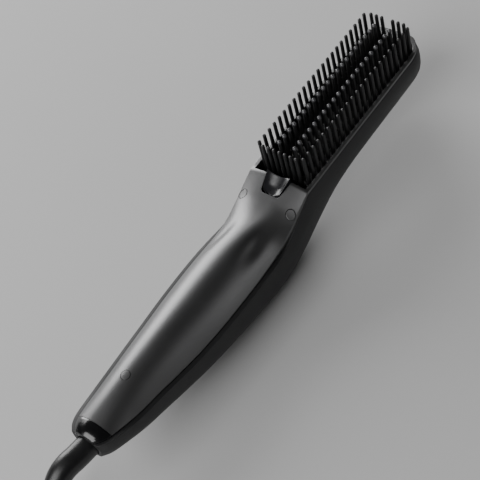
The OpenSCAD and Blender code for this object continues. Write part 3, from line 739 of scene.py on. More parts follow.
def extruded(
    mesh: bmesh.types.BMesh, edges: Sequence[bmesh.types.BMEdge]
) -> tuple[list[bmesh.types.BMVert], list[bmesh.types.BMEdge]]:
    """Extrudes a row of edges once, in place.

    Args:
        mesh: The mesh that they are in.
        edges: The row.

    Returns:
        The new vertices, and the new edges between them.
    """
    new = bmesh.ops.extrude_edge_only(mesh, edges=edges)["geom"]
    verts = [g for g in new if isinstance(g, bmesh.types.BMVert)]
    fresh = set(verts)
    return verts, [g for g in new if isinstance(g, bmesh.types.BMEdge) and fresh.issuperset(g.verts)]


@dataclass
class Piece:
    """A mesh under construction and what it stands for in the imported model."""

    name: str
    body: str
    finish: Finish
    replaces: tuple[str, ...] = ()
    more: tuple[Finish, ...] = ()
    sharp_deg: float = 38.0
    mesh: bmesh.types.BMesh = field(default_factory=bmesh.new)

    def edge_round(self, edges: list[bmesh.types.BMEdge], width: float, segments: int = 2) -> None:
        """Rounds the given edges.

        Args:
            edges: The edges to round.
            width: How far the rounding reaches from the edge, in millimetres.
            segments: Number of faces across the rounding.
        """
        bmesh.ops.bevel(
            self.mesh, geom=edges, offset=width, offset_type="OFFSET", affect="EDGES",
            segments=segments, profile=0.5, material=-1, clamp_overlap=True,
        )

    def sharp_edges(self, degrees: float) -> list[bmesh.types.BMEdge]:
        """The edges whose two faces meet at more than the given angle."""
        limit = math.radians(degrees)
        return [e for e in self.mesh.edges if len(e.link_faces) == 2 and e.calc_face_angle(0) > limit]

    def face_towards(self, face: bmesh.types.BMFace, way: Vector) -> None:
        """Turns the faces of an open surface all to one side.

        Args:
            face: One of its faces.
            way: The way that this face has to point.
        """
        bmesh.ops.recalc_face_normals(self.mesh, faces=self.mesh.faces[:])
        if face.normal.dot(way) < 0:
            bmesh.ops.reverse_faces(self.mesh, faces=self.mesh.faces[:])

    def outward(self) -> None:
        """Merges doubles and turns the faces of a closed mesh outwards."""
        bmesh.ops.remove_doubles(self.mesh, verts=self.mesh.verts[:], dist=1e-4)
        bmesh.ops.recalc_face_normals(self.mesh, faces=self.mesh.faces[:])

    def build(self, cutters: Sequence[bpy.types.Object] = (), wall: float = 0.0) -> bpy.types.Object:
        """Makes the object, cuts it, sets it in place and hands it to the frame.

        Args:
            cutters: Objects, in millimetres, whose space is taken out of the piece.
            wall: Thickness given inwards to an open surface, in millimetres.

        Returns:
            The finished object.
        """
        made = mesh_object(self.name, self.mesh)
        if wall:
            thick = made.modifiers.new("wall", "SOLIDIFY")
            thick.thickness, thick.offset, thick.use_even_offset = wall, -1.0, False
        for cutter in cutters:
            cut = made.modifiers.new("cut", "BOOLEAN")
            cut.operation, cut.solver, cut.object = "DIFFERENCE", "MANIFOLD", cutter
        if made.modifiers:
            whole = made.data
            bpy.context.view_layer.update()
            graph = bpy.context.evaluated_depsgraph_get()
            made.data = bpy.data.meshes.new_from_object(made.evaluated_get(graph))
            # A cut brings in an empty slot, which would come before the finish
            made.data.materials.clear()
            made.modifiers.clear()
            bpy.data.meshes.remove(whole)
            made.data.name = self.name
        for cutter in cutters:
            bpy.data.objects.remove(cutter)
        made.data.transform(IN_PLACE)
        made.data.shade_smooth()
        made.data.set_sharp_from_angle(angle=math.radians(self.sharp_deg))
        for finish in (self.finish, *self.more):
            made.data.materials.append(finish.material())
        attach(made, self.body)
        if self.replaces:
            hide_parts(*self.replaces)
        LOG.info("%s: %d faces", self.name, len(made.data.polygons))
        return made


def cutter(name: str, mesh: bmesh.types.BMesh) -> bpy.types.Object:
    """A closed mesh, in millimetres, as an object for a cut.

    Args:
        name: Name for the object while it lasts.
        mesh: The shape, freed here.

    Returns:
        The object.
    """
    bmesh.ops.recalc_face_normals(mesh, faces=mesh.faces[:])
    return mesh_object(name, mesh)


def rod(
    mesh: bmesh.types.BMesh, place: Matrix, radius: float, length: float,
    end_radius: float | None = None, sides: int = 32,
) -> list[bmesh.types.BMVert]:
    """Adds a capped rod or cone that runs from the place's origin along its Z.

    Args:
        mesh: The mesh that it is added to.
        place: Where its first end stands and which way it points.
        radius: Radius at its first end.
        length: Its length.
        end_radius: Radius at its far end, or None for the same.
        sides: Number of its sides.

    Returns:
        Its vertices.
    """
    return bmesh.ops.create_cone(
        mesh, cap_ends=True, segments=sides, radius1=radius,
        radius2=radius if end_radius is None else end_radius, depth=length,
        matrix=place @ Matrix.Translation((0, 0, length / 2)),
    )["verts"]


def sheet_of(
    mesh: bmesh.types.BMesh, stations: Sequence[float], columns: Sequence[float],
    place: Callable[[float, float], Vector],
) -> dict[tuple[int, int], bmesh.types.BMVert]:
    """Adds a grid whose points are placed by station and column.

    Args:
        mesh: The mesh that it is added to.
        stations: Values along the grid.
        columns: Values across the grid.
        place: Gives a point from its station's and its column's value.

    Returns:
        The grid's vertices by station number and column number.
    """
    long, wide = len(stations) - 1, len(columns) - 1
    grid = bmesh.ops.create_grid(mesh, x_segments=long, y_segments=wide, size=1.0)["verts"]
    known = {}
    for vert in grid:
        i = round((vert.co.x + 1) / 2 * long)
        j = round((vert.co.y + 1) / 2 * wide)
        vert.co = place(stations[i], columns[j])
        known[i, j] = vert
    return known


def swept(
    mesh: bmesh.types.BMesh, path: Sequence[Vector], radii: Sequence[float], sides: int = 32
) -> None:
    """Adds a closed round tube along a path, extruded ring by ring.

    Args:
        mesh: The mesh that it is added to.
        path: Centres of its rings.
        radii: Radius of each ring.
        sides: Number of its sides.
    """
    def turn(i: int) -> Matrix:
        """Place of ring i, square to the path."""
        way = (path[min(i + 1, len(path) - 1)] - path[max(i - 1, 0)]).normalized()
        return Matrix.Translation(path[i]) @ way.to_track_quat("Z", "Y").to_matrix().to_4x4()

    ring = bmesh.ops.create_circle(mesh, segments=sides, radius=1.0)["verts"]
    flat = [v.co.copy() for v in ring]
    first = ring
    for v, co in zip(ring, flat):
        v.co = turn(0) @ (co * radii[0])
    loop = list({e for v in ring for e in v.link_edges})
    for i in range(1, len(path)):
        fresh, loop = extruded(mesh, loop)
        at, back = turn(i), turn(i - 1).inverted()
        for v in fresh:
            v.co = at @ ((back @ v.co) * (radii[i] / radii[i - 1]))
    bmesh.ops.contextual_create(mesh, geom=first)
    bmesh.ops.contextual_create(mesh, geom=list({v for e in loop for v in e.verts}))


def spread(low: float, high: float, step: float) -> list[float]:
    """Evenly spaced values from low up to and without high, about a step apart."""
    count = max(1, round((high - low) / step))
    return [low + (high - low) * k / count for k in range(count)]


def stations(end: float, *marks: tuple[float, float]) -> list[float]:
    """Places from the first mark to the end, closer together where the shape needs it.

    Args:
        end: The last place.
        marks: Where each stretch begins and the step along it, in order.

    Returns:
        The places in rising order, every mark among them.
    """
    stops = [place for place, _ in marks[1:]] + [end]
    return [x for (low, step), high in zip(marks, stops) for x in spread(low, high, step)] + [end]


def mirrored(half: Sequence[float]) -> list[float]:
    """Columns of both sides, from those of one side that begin with 0."""
    return [-c for c in reversed(half[1:])] + list(half)


# ---------------------------------------------------------------- the studio


@dataclass
class Studio:
    """Camera, plain pale floor and soft light. Distances are in metres."""

    lens_mm: float = 89.53
    sensor_mm: float = 36.0
    eye: tuple[float, float, float] = (-0.21863, -0.25527, 0.44604)
    # The camera's own axes: to its right, up, and away from what it looks at
    right: tuple[float, float, float] = (0.57200241, -0.79436661, -0.20443807)
    up: tuple[float, float, float] = (0.72077855, 0.36780571, 0.58753488)
    away: tuple[float, float, float] = (-0.39152461, -0.48342594, 0.78294817)
    floor_tone: str = "#b9b9b9"
    floor_half: float = 3.0
    # Each light's name, direction from the comb, distance, side and power in watts: a key light
    # low on the left, one over the tail and a weak edge light
    lights: tuple[tuple[str, tuple[float, float, float], float, float, float], ...] = (
        ("key", (0.42, 0.86, 0.27), 1.3, 1.15, 34.0),
        ("tail_light", (-0.78, 0.1, 0.62), 1.4, 1.2, 22.0),
        ("edge_light", (0.39, -0.86, 0.33), 1.4, 0.4, 1.5),
    )
    air_tone: float = 0.8
    air_strength: float = 0.04

    def camera(self) -> None:
        """Places the camera at its viewing angle."""
        data = bpy.data.cameras.new("camera")
        data.lens, data.sensor_width, data.sensor_height = self.lens_mm, self.sensor_mm, self.sensor_mm
        data.clip_start, data.clip_end = 0.05, 20.0
        made = add_object("camera", data)
        turn = Matrix((self.right, self.up, self.away)).transposed().to_4x4()
        made.matrix_world = Matrix.Translation(self.eye) @ turn
        bpy.context.scene.camera = made

    def floor(self) -> None:
        """Lays the plain pale floor."""
        mesh = bmesh.new()
        bmesh.ops.create_grid(mesh, x_segments=1, y_segments=1, size=self.floor_half)
        made = mesh_object("floor", mesh)
        # Uncoated backdrop paper: matt and even.
        paper = Finish(
            "matt_backdrop_paper", self.floor_tone, self.floor_tone, (0.85, 0.95), Grain.ERODED,
            2.0, 0.01, 60.0,
        )
        made.data.materials.append(paper.material())

    def soft_box(
        self, name: str, toward: tuple[float, float, float], distance: float, size: float, watts: float
    ) -> None:
        """Hangs one soft light that faces the comb.

        Args:
            name: The light's name.
            toward: Direction from the comb to the light.
            distance: How far away it hangs.
            size: Side of its square face.
            watts: Its power.
        """
        data = bpy.data.lights.new(name, "AREA")
        data.shape, data.size, data.energy = "SQUARE", size, watts
        made = add_object(name, data)
        way = Vector(toward).normalized()
        turn = way.to_track_quat("Z", "Y").to_matrix().to_4x4()
        made.matrix_world = Matrix.Translation(way * distance) @ turn

    def light(self) -> None:
        """Hangs the soft lights and gives the air a weak even glow."""
        for light in self.lights:
            self.soft_box(*light)
        world = bpy.data.worlds.new("studio")
        world.use_nodes = True
        back = world.node_tree.nodes["Background"]
        back.inputs[0].default_value = (self.air_tone, self.air_tone, self.air_tone, 1.0)
        back.inputs[1].default_value = self.air_strength
        bpy.context.scene.world = world


# ---------------------------------------------------------------- the lead


@dataclass
class Lead:
    """Strain relief, mains lead with its tied hank, and the flat two-pin plug."""

    thick: float = 6.0
    # The lead's first points, from inside the strain relief; it leaves the relief at the second
    start: tuple[tuple[float, float, float], ...] = (
        (-196.5, -2, -49.1), (-199.5, -2, -49.1), (-203.5, -2, -49.4), (-207.5, -2, -49.85),
    )
    # The hank: centre of its near fold, fold radius and straight run at the bundle's middle
    fold_at: tuple[float, float] = (-249.885, -8.0)
    fold_radius: float = 21.0
    run: float = 66.0
    bend_radius: float = 27.0
    bend_from: float = -211.0
    leave_radius: float = 33.0
    # Where the plug's neck begins, how far before it the S bend ends, and how far the lead
    # runs on from there into the plug
    plug_at: tuple[float, float, float] = (-299.383, -8.0, -28.0)
    plug_before: float = 3.7
    plug_past: float = 4.7
    relief_knots: tuple[tuple[float, float, float], ...] = (
        (-146.6, 0, -27), (-149.5, 0, -27), (-153.5, 0.4, -27), (-157.5, 1, -27),
        (-161, 1.7, -27), (-164.6, 2.1, -27.5), (-168, 2.2, -28.9), (-170.9, 2, -31.1),
        (-173.1, 1.6, -34), (-175, 1, -37.2), (-178.8, -0.2, -42.2), (-183.8, -1.4, -46),
        (-189.6, -2, -48.4), (-195.8, -2, -49.1), (-199.5, -2, -49.1),
    )
    relief_radii: tuple[float, ...] = (
        5.4, 5.4, 5.4, 5.4, 5.4, 5.304, 5.208, 5.08, 4.952, 4.76, 4.504, 4.28, 4.088, 3.896, 3.8,
    )
    flex_shares: tuple[float, ...] = (0.5, 0.6, 0.7, 0.8)
    flex_size: tuple[float, float, float] = (1.5, 0.9, 3.4)
    flex_stand: float = 0.25
    # Places in the hank's bundle, inner or outer and layer, in the order they are wound
    slots: tuple[tuple[int, int], ...] = ((1, 0), (0, 0), (0, 1), (1, 1), (1, 2), (0, 2), (0, 3))
    # Where on its lap each winding begins to move to the next place, and how long that takes
    moves_at: tuple[float, ...] = (0.4, -13.7, -27.4, -49.5, -64.3, -86.0)
    move_span: float = 50.0
    tie_lift: float = 0.9
    tie_reach: float = 28.0
    tie_gap: float = 0.12
    tie_wide: float = 11.0
    tie_thick: float = 0.65
    bend_steps: int = 8
    leave_steps: int = 12
    wound_step: float = 5.5
    line_step: float = 2.5
    # The plug's body in rings: distance from where its neck begins, half width, half height
    plug_rows: tuple[tuple[float, float, float], ...] = (
        (8, 9.5, 4.6), (9.5, 13.5, 6), (13, 16.2, 6.8), (22, 17.3, 7), (30, 17.5, 7),
        (34, 17.2, 6.8),
    )
    plug_squareness: tuple[float, float] = (0.45, 0.55)
    pins_apart: float = 18.0

    @property
    def lap(self) -> float:
        """Length of one winding at the middle of the bundle."""
        return 2 * (math.pi * self.fold_radius + self.run)

    def slot_at(self, slot: tuple[int, int]) -> tuple[float, float]:
        """Fold radius and height over the floor of one place in the hank's bundle."""
        return self.fold_radius + self.thick * (slot[0] - 0.5), self.thick * (slot[1] + 0.5)

    def on_lap(self, way: float, radius: float) -> tuple[float, float]:
        """Place on the hank's outline.

        Args:
            way: Distance wound at the middle of the bundle, from the -Y end of the near fold.
            radius: Fold radius of the winding.

        Returns:
            The x and y of the winding.
        """
        x, y = self.fold_at
        half = math.pi * self.fold_radius
        way %= self.lap
        far = way >= half + self.run
        if far:
            way -= half + self.run
        side = -1 if far else 1
        if way < half:
            turn = way / self.fold_radius - math.pi / 2
            out, up = radius * math.cos(turn), radius * math.sin(turn)
        else:
            out, up = half - way, radius
        return x - (self.run if far else 0) + side * out, y + side * up

    def hank_point(self, way: float) -> Vector:
        """Point of the wound lead.

        Args:
            way: Distance wound, as for on_lap.

        Returns:
            The point on the lead's centreline.
        """
        radius, height = self.slot_at(self.slots[0])
        for k, start in enumerate(self.moves_at):
            share = (way - self.lap * (k + 1) - start) / self.move_span
            ease = 0.5 - 0.5 * math.cos(math.pi * min(1.0, max(0.0, share)))
            (r0, z0), (r1, z1) = self.slot_at(self.slots[k]), self.slot_at(self.slots[k + 1])
            radius += (r1 - r0) * ease
            height += (z1 - z0) * ease
        off_tie = abs(way % self.lap - (math.pi * self.fold_radius + self.run / 2)) / self.tie_reach
        height += self.tie_lift * (1 - smooth_step(off_tie))
        return Vector((*self.on_lap(way, radius), FORM.floor + height))

    def route(self) -> list[Vector]:
        """Centreline of the lead from inside the strain relief to the plug.

        Returns:
            Its points: listed at the relief, then a bend, the windings and an S bend.
        """
        low = FORM.floor + self.thick / 2
        x0, y0 = self.fold_at
        points = [Vector(p) for p in self.start]
        start_y = points[-1].y
        outer = self.slot_at(self.slots[0])[0]
        join = math.asin((self.bend_from - x0) / (self.bend_radius + outer))
        for k in range(self.bend_steps):
            turn = join * k / self.bend_steps
            x = self.bend_from - self.bend_radius * math.sin(turn)
            points.append(Vector((x, start_y + self.bend_radius * (1 - math.cos(turn)), low)))
        inner, top = self.slot_at(self.slots[-1])
        x1, y1, z1 = self.plug_at
        leave = math.acos(1 - inner / (2 * self.leave_radius))
        x1 += self.plug_before
        x2 = x1 + 2 * self.leave_radius * math.sin(leave)
        first = (math.pi - join) * self.fold_radius
        last = self.lap * len(self.moves_at) + math.pi * self.fold_radius + (x0 - x2)
        count = round((last - first) / self.wound_step)
        points += [self.hank_point(first + (last - first) * k / count) for k in range(count + 1)]
        steps, height = self.leave_steps, FORM.floor + top
        for k in range(1, steps + 1):
            turn = leave * min(k, steps - k) / (steps / 2)
            across = self.leave_radius * math.sin(turn)
            aside = self.leave_radius * (1 - math.cos(turn))
            first_half = k <= steps / 2
            x, y = (x2 - across, y0 + inner - aside) if first_half else (x1 + across, y1 + aside)
            points.append(Vector((x, y, height + (z1 - height) * smooth_step(k / steps))))
        points.append(Vector((x1 - self.plug_past, y1, z1)))
        return points

    def cord(self) -> tuple[bpy.types.Object, list[Vector]]:
        """Makes the lead itself as a round curve.

        Returns:
            The lead, and the points of its centreline in metres.
        """
        line = through(self.route(), self.line_step)
        data = bpy.data.curves.new("mains_lead", "CURVE")
        data.dimensions, data.bevel_depth = "3D", self.thick / 2 * MM
        data.bevel_resolution, data.use_fill_caps, data.twist_smooth = 3, True, 8.0
        spline = data.splines.new("POLY")
        spline.points.add(len(line) - 1)
        placed = [IN_PLACE @ p for p in line]
        for point, at in zip(spline.points, placed):
            point.co = (*at, 1.0)
        data.materials.append(EXTRUDED_PVC.material())
        made = add_object("mains_lead", data)
        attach(made, "handle")
        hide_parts("lead_run", "lead_coil", "plug_lead")
        return made, placed

    def relief(self) -> bpy.types.Object:
        """Makes the tapered strain relief with its flex slots.

        Returns:
            The strain relief.
        """
        knots = [Vector(p) for p in self.relief_knots]
        path = through(knots, 1.2)
        shares = [0.0]
        for a, b in zip(knots, knots[1:]):
            shares.append(shares[-1] + (b - a).length)
        taper = list(zip(shares, self.relief_radii))
        stretch = shares[-1] / self._long(path)
        radii, run = [], 0.0
        for i, p in enumerate(path):
            run += (p - path[i - 1]).length if i else 0.0
            radii.append(along(taper, run * stretch))
        piece = Piece("strain_relief_boot", "swivel", MOULDED_PVC, ("strain_relief",))
        swept(piece.mesh, path, radii, 40)
        piece.outward()
        piece.edge_round(piece.sharp_edges(60), 0.8, 3)
        slots = []
        for k, share in enumerate(self.flex_shares):
            i = round(share * (len(path) - 1))
            way = (path[i + 1] - path[i - 1]).normalized()
            for side in (1, -1):
                # The first and third pair lie on the +Y side, the other two above and below
                lean = Vector((0, side, 0.35)) if k % 2 else Vector((0, 0.5 * side, 1))
                out = way.cross(lean).normalized()
                at = Matrix.Translation(path[i] + out * (radii[i] + self.flex_stand))
                axes = Matrix((out, way.cross(out), way)).transposed().to_4x4()
                slot = bmesh.new()
                bmesh.ops.create_uvsphere(
                    slot, u_segments=20, v_segments=12, radius=1.0,
                    matrix=at @ axes @ Matrix.Diagonal((*self.flex_size, 1)),
                )
                slots.append(cutter(f"flex_slot_{k}_{side}", slot))
        return piece.build(slots)

    @staticmethod
    def _long(path: Sequence[Vector]) -> float:
        """Length of a path."""
        return sum((b - a).length for a, b in zip(path, path[1:]))

    def tie(self) -> bpy.types.Object:
        """Makes the woven strap round one straight run of the hank.

        Returns:
            The strap.
        """
        piece = Piece("hank_strap", "handle", WOVEN_NYLON, ("lead_tie",))
        centres = [self.slot_at(s) for s in self.slots[:-1]]
        reach = self.thick / 2 + self.tie_gap
        ring = bmesh.ops.create_circle(piece.mesh, segments=72, radius=1.0)["verts"]
        for v in ring:
            way = v.co.normalized()
            r, z = max(centres, key=lambda c: c[0] * way.x + c[1] * way.y)
            v.co = Vector((r + reach * way.x, -self.tie_wide / 2, z + self.tie_lift + reach * way.y))
        loop = list({e for v in ring for e in v.link_edges})
        rows = 4
        for _ in range(rows):
            fresh, loop = extruded(piece.mesh, loop)
            bmesh.ops.translate(piece.mesh, verts=fresh, vec=(0, self.tie_wide / rows, 0))
        middle = Vector((self.fold_radius, 0, self.thick * 1.5))
        face = next(iter(piece.mesh.faces))
        piece.face_towards(face, face.calc_center_median() - middle)
        bmesh.ops.solidify(piece.mesh, geom=piece.mesh.faces[:], thickness=-self.tie_thick)
        bmesh.ops.recalc_face_normals(piece.mesh, faces=piece.mesh.faces[:])
        x, y = self.fold_at
        quarter = Matrix.Rotation(math.pi / 2, 4, "Z")
        place = Matrix.Translation((x - self.run / 2, y, FORM.floor)) @ quarter
        bmesh.ops.transform(piece.mesh, matrix=place, verts=piece.mesh.verts[:])
        return piece.build()

    def _in_plug(self, back: float, side: float = 0.0) -> Matrix:
        """Place in the plug, with Z towards the handle.

        Args:
            back: Distance from where the plug's neck begins, towards the pins.
            side: Distance from the plug's middle line.

        Returns:
            The place as a matrix.
        """
        x, y, z = self.plug_at
        return Matrix.Translation((x - back, y + side, z)) @ ALONG_X

    def plug_body(self) -> bpy.types.Object:
        """Makes the plug's moulded body with its ribbed neck.

        Returns:
            The body.
        """
        x, y, z = self.plug_at
        piece = Piece("plug_moulding", "handle", MOULDED_PVC, ("plug_body",))
        ring = bmesh.ops.create_circle(piece.mesh, segments=64, radius=1.0)["verts"]
        angles = {v: math.atan2(v.co.y, v.co.x) for v in ring}
        flat, steep = self.plug_squareness

        def lay(verts: Sequence[bmesh.types.BMVert], row: tuple[float, float, float]) -> None:
            """Lays one ring of the body as a rounded oblong.

            Args:
                verts: The ring's vertices.
                row: Its distance from where the neck begins, half width and half height.
            """
            for v in verts:
                c, s = math.cos(angles[v]), math.sin(angles[v])
                across = row[1] * math.copysign(abs(c) ** flat, c)
                up = row[2] * math.copysign(abs(s) ** steep, s)
                v.co = Vector((x - row[0], y + across, z + up))

        lay(ring, self.plug_rows[0])
        bmesh.ops.contextual_create(piece.mesh, geom=ring)
        loop = list({e for v in ring for e in v.link_edges})
        for row in self.plug_rows[1:]:
            fresh, loop = extruded(piece.mesh, loop)
            known = dict(angles)
            for v in fresh:
                source = next(u for u in (e.other_vert(v) for e in v.link_edges) if u in known)
                angles[v] = known[source]
            lay(fresh, row)
        bmesh.ops.contextual_create(piece.mesh, geom=list({v for e in loop for v in e.verts}))
        piece.outward()
        piece.edge_round(piece.sharp_edges(50), 0.9, 3)
        rod(piece.mesh, self._in_plug(10), 4.5, 10.2, 4.2, 40)
        for k in range(4):
            rod(piece.mesh, self._in_plug(1.9 + 2 * k), 4.7, 1.1, 4.7, 40)
        return piece.build()

    def plug_pins(self) -> bpy.types.Object:
        """Makes the plug's two pins with the half sleeves that insulate them.

        Returns:
            The pair of pins.
        """
        piece = Piece("plug_pin_pair", "handle", NICKEL_PLATE, ("plug_pins",), (MOULDED_PVC,))
        sides = (self.pins_apart / 2, -self.pins_apart / 2)
        for side in sides:
            rod(piece.mesh, self._in_plug(53, side), 1.97, 19.0)
        piece.outward()
        piece.edge_round(piece.sharp_edges(60), 0.5, 3)
        bare = set(piece.mesh.faces)
        for side in sides:
            rod(piece.mesh, self._in_plug(44, side), 2.02, 10.2)
        for face in set(piece.mesh.faces) - bare:
            face.material_index = 1
        return piece.build()

    def build(self) -> None:
        made, placed = self.cord()
        pieces = [self.relief(), self.tie(), self.plug_body(), self.plug_pins()]
        LOG.info("lead: %.3f m", self._long(placed))


# ---------------------------------------------------------------- the handle


@dataclass
class Handle:
    """The two moulded shells with the tail cap, screw plugs, display window and buttons."""

    front_wall: float = 0.8
    # Heights at which the inner walls of the comb opening and of the thumb notch end
    front_lip: float = -20.0
    notch_lip: float = -22.0
    # Places along the comb where the shells' meshes become finer or coarser
    waist_from: float = -40.0
    neck_from: float = -18.0
    collar_to: float = -3.0
    head_from: float = 4.0
    tip_from: float = 84.0
    notch_foot: float = -14.3
    notch_half: tuple[float, float] = (4.9, 6.8)
    notch_round: float = 1.6
    seam: float = 0.06
    plug_radius: float = 2.1
    plug_gap: float = 0.22
    plugs: tuple[tuple[float, float], ...] = ((-17.5, 13.3), (-17.5, -13.3), (-119.87, 0.0))
    panel_at: tuple[float, float, float] = (-78.25, 0.0, -48.27)
    panel_slope: float = 9.29
    window_size: tuple[float, float] = (16.0, 10.0)
    window_x: float = 17.0
    window_gap: float = 0.2
    # Each button's name and its place along the panel
    keys: tuple[tuple[str, float], ...] = (("power", -28.0), ("plus", 0.0), ("minus", -13.0))
    power_radius: float = 5.0
    key_size: tuple[float, float] = (6.0, 9.0)
    key_gap: float = 0.3
    key_foot: float = 4.0
    flange_at: float = 3.0
    flange: float = 1.0
    proud: float = 0.6
    mark_radius: float = 0.2
    # Where a cut through the back begins outside the panel's plane, and its height
    cut_from: float = -3.0
    cut_high: float = 8.0
    back_round: float = 2.6
    # Share of the back's height that lies above its widest line
    widest_share: float = 0.28
    # Cells across the front shell: crown middle, crown side, rim
    cells: tuple[int, int, int] = (8, 10, 4)

    def panel(self, x: float, depth: float = 0.0) -> Matrix:
        """Place on the button panel, with Z pointing into the handle.

        Args:
            x: Place along the panel, in millimetres from the plus key.
            depth: Height over the panel's plane, inwards.

        Returns:
            The place as a matrix.
        """
        turn = Matrix.Rotation(math.radians(self.panel_slope), 4, "Y")
        return Matrix.Translation(self.panel_at) @ turn @ Matrix.Translation((x, 0, depth))

    def skin(self, x: float) -> float:
        """Height of the shell's outside over the panel's plane at x."""
        at = self.panel(x).translation
        return (FORM.back(at.x) - at.z) * math.cos(math.radians(self.panel_slope))

    def notch_edge(self, x: float) -> float:
        """Half width of the thumb notch at x, and its column's place beyond the notch.

        Args:
            x: Place along the comb.

        Returns:
            The half width.
        """
        into = x - self.notch_foot
        low, high = self.notch_half
        if x > FORM.opening_foot:
            return min(high, 0.4 * FORM.half_width(x))
        if into >= 0:
            straight = low + (high - low) * into / (FORM.opening_foot - self.notch_foot)
            inside = max(0.0, self.notch_round - into)
            return straight - self.notch_round + math.sqrt(self.notch_round**2 - inside**2)
        ease = smooth_step(-into / 14)
        return (low - self.notch_round) * (1 - ease) + 0.4 * FORM.half_width(x) * ease

    def rim_edge(self, x: float) -> float:
        """Half width at which the rim's columns begin at x.

        Args:
            x: Place along the comb.

        Returns:
            The half width.
        """
        if x < FORM.opening_foot:
            ratio = FORM.opening_half(FORM.opening_foot) / FORM.half_width(FORM.opening_foot)
            return ratio * FORM.half_width(x)
        if x > FORM.opening_tip:
            ratio = FORM.opening_half(FORM.opening_tip) / FORM.half_width(FORM.opening_tip)
            return ratio * FORM.half_width(x)
        return FORM.opening_half(x)

    def front_point(self, x: float, column: float) -> Vector:
        """Point of the bristle-side shell.

        Args:
            x: Its station.
            column: Its column, counted from the middle and negative to the right.

        Returns:
            The point.
        """
        middle, side, rim = self.cells
        c, sign = abs(column), math.copysign(1.0, column)
        half = FORM.half_width(x)
        if c > middle + side + rim:
            return Vector((x, sign * half, FORM.parting(x) + self.seam))
        if c <= middle:
            y = self.notch_edge(x) * c / middle
        elif c <= middle + side:
            y = self.notch_edge(x) + (self.rim_edge(x) - self.notch_edge(x)) * (c - middle) / side
        else:
            y = self.rim_edge(x) + (half - self.rim_edge(x)) * (c - middle - side) / rim
        return Vector((x, sign * y, FORM.crown_at(x, y)))

    def front_shell(self) -> bpy.types.Object:
        """Makes the bristle-side shell with its rim, thumb notch and screw holes.

        Returns:
            The shell.
        """
        piece = Piece("front_shell_skin", "handle", SATIN_LACQUER, ("front_shell",))
        foot, tip = FORM.opening_foot, FORM.opening_tip
        xs = stations(
            FORM.tip, (FORM.shell_end, 0.9), (self.neck_from, 0.5), (self.notch_foot, 0.2),
            (self.notch_foot + self.notch_round, 0.5), (foot, 0.5), (self.collar_to, 1.5),
            (self.tip_from, 0.8), (tip, 0.5),
        )
        middle, side, rim = self.cells
        inner, edge = middle + side, middle + side + rim
        columns = list(range(-edge - 1, edge + 2))
        known = sheet_of(piece.mesh, xs, columns, self.front_point)
        where = {v: (i, columns[j]) for (i, j), v in known.items()}
        notch, opening, end = (xs.index(x) for x in (self.notch_foot, foot, tip))
        last = len(xs) - 1
        gone = []
        for face in piece.mesh.faces:
            i = min(where[v][0] for v in face.verts)
            c = max(abs(where[v][1]) for v in face.verts)
            if (notch <= i < opening and c <= middle) or (opening <= i < end and c <= inner):
                gone.append(face)
        bmesh.ops.delete(piece.mesh, geom=gone, context="FACES")

        def border(v: bmesh.types.BMVert) -> bool:
            """Whether a vertex lies on the sheet's outer border."""
            i, c = where[v]
            return i in (0, last) or abs(c) > edge

        hole = [e for e in border_edges(piece.mesh) if not all(border(v) for v in e.verts)]
        shoulder = [e for e in piece.mesh.edges if all(abs(where[v][1]) == edge for v in e.verts)]
        tip_edge = [
            e for e in piece.mesh.edges
            if all(where[v][0] == last and abs(where[v][1]) <= edge for v in e.verts)
        ]
        for v in extruded(piece.mesh, hole)[0]:
            v.co.z = self.notch_lip if v.co.x < foot - 0.1 else self.front_lip
        for v in extruded(piece.mesh, tip_edge)[0]:
            v.co.z = FORM.parting(v.co.x) + self.seam
        bmesh.ops.remove_doubles(piece.mesh, verts=piece.mesh.verts[:], dist=1e-4)
        top = max(piece.mesh.faces, key=lambda f: f.calc_center_median().z)
        piece.face_towards(top, Vector((0, 0, 1)))
        rounded = [e for e in {*hole, *shoulder, *tip_edge} if e.is_valid and len(e.link_faces) == 2]
        piece.edge_round(rounded, 0.3, 3)
        holes = []
        for k, (x, y) in enumerate(self.plugs):
            drill = bmesh.new()
            low = Matrix.Translation((x, y, FORM.crown_at(x, y) - 6))
            rod(drill, low, self.plug_radius + self.plug_gap, 12.0)
            holes.append(cutter(f"plug_hole_{k}", drill))
        return piece.build(holes, wall=self.front_wall)

    def back_point(self, x: float, column: float) -> Vector:
        """Point of the back shell.

        Args:
            x: Its station.
            column: 0 at the lowest line, 1 at the widest, 2 at the top edge, 3 at the ledge's
                inner edge, negative to the right.

        Returns:
            The point.
        """
        c, sign = abs(column), math.copysign(1.0, column)
        half = FORM.back_half(x)
        wide, top = half + FORM.swell(x), FORM.parting(x) - self.seam
        low = FORM.back(x)
        middle = top - (top - low) * self.widest_share
        if c > 2:
            return Vector((x, sign * (half - (c - 2) * FORM.wall), top))
        if c > 1:
            y = half + (wide - half) * math.cos(math.pi / 2 * (c - 1))
            return Vector((x, sign * y, middle + (top - middle) * (c - 1)))
        turn = math.pi / 4 * (1 + math.cos(math.pi * c))
        power = 2 / self.back_round
        y = wide * math.cos(turn) ** power if c else 0.0
        z = middle + (low - middle) * math.sin(turn) ** power
        return Vector((x, sign * y, max(FORM.floor, z)))

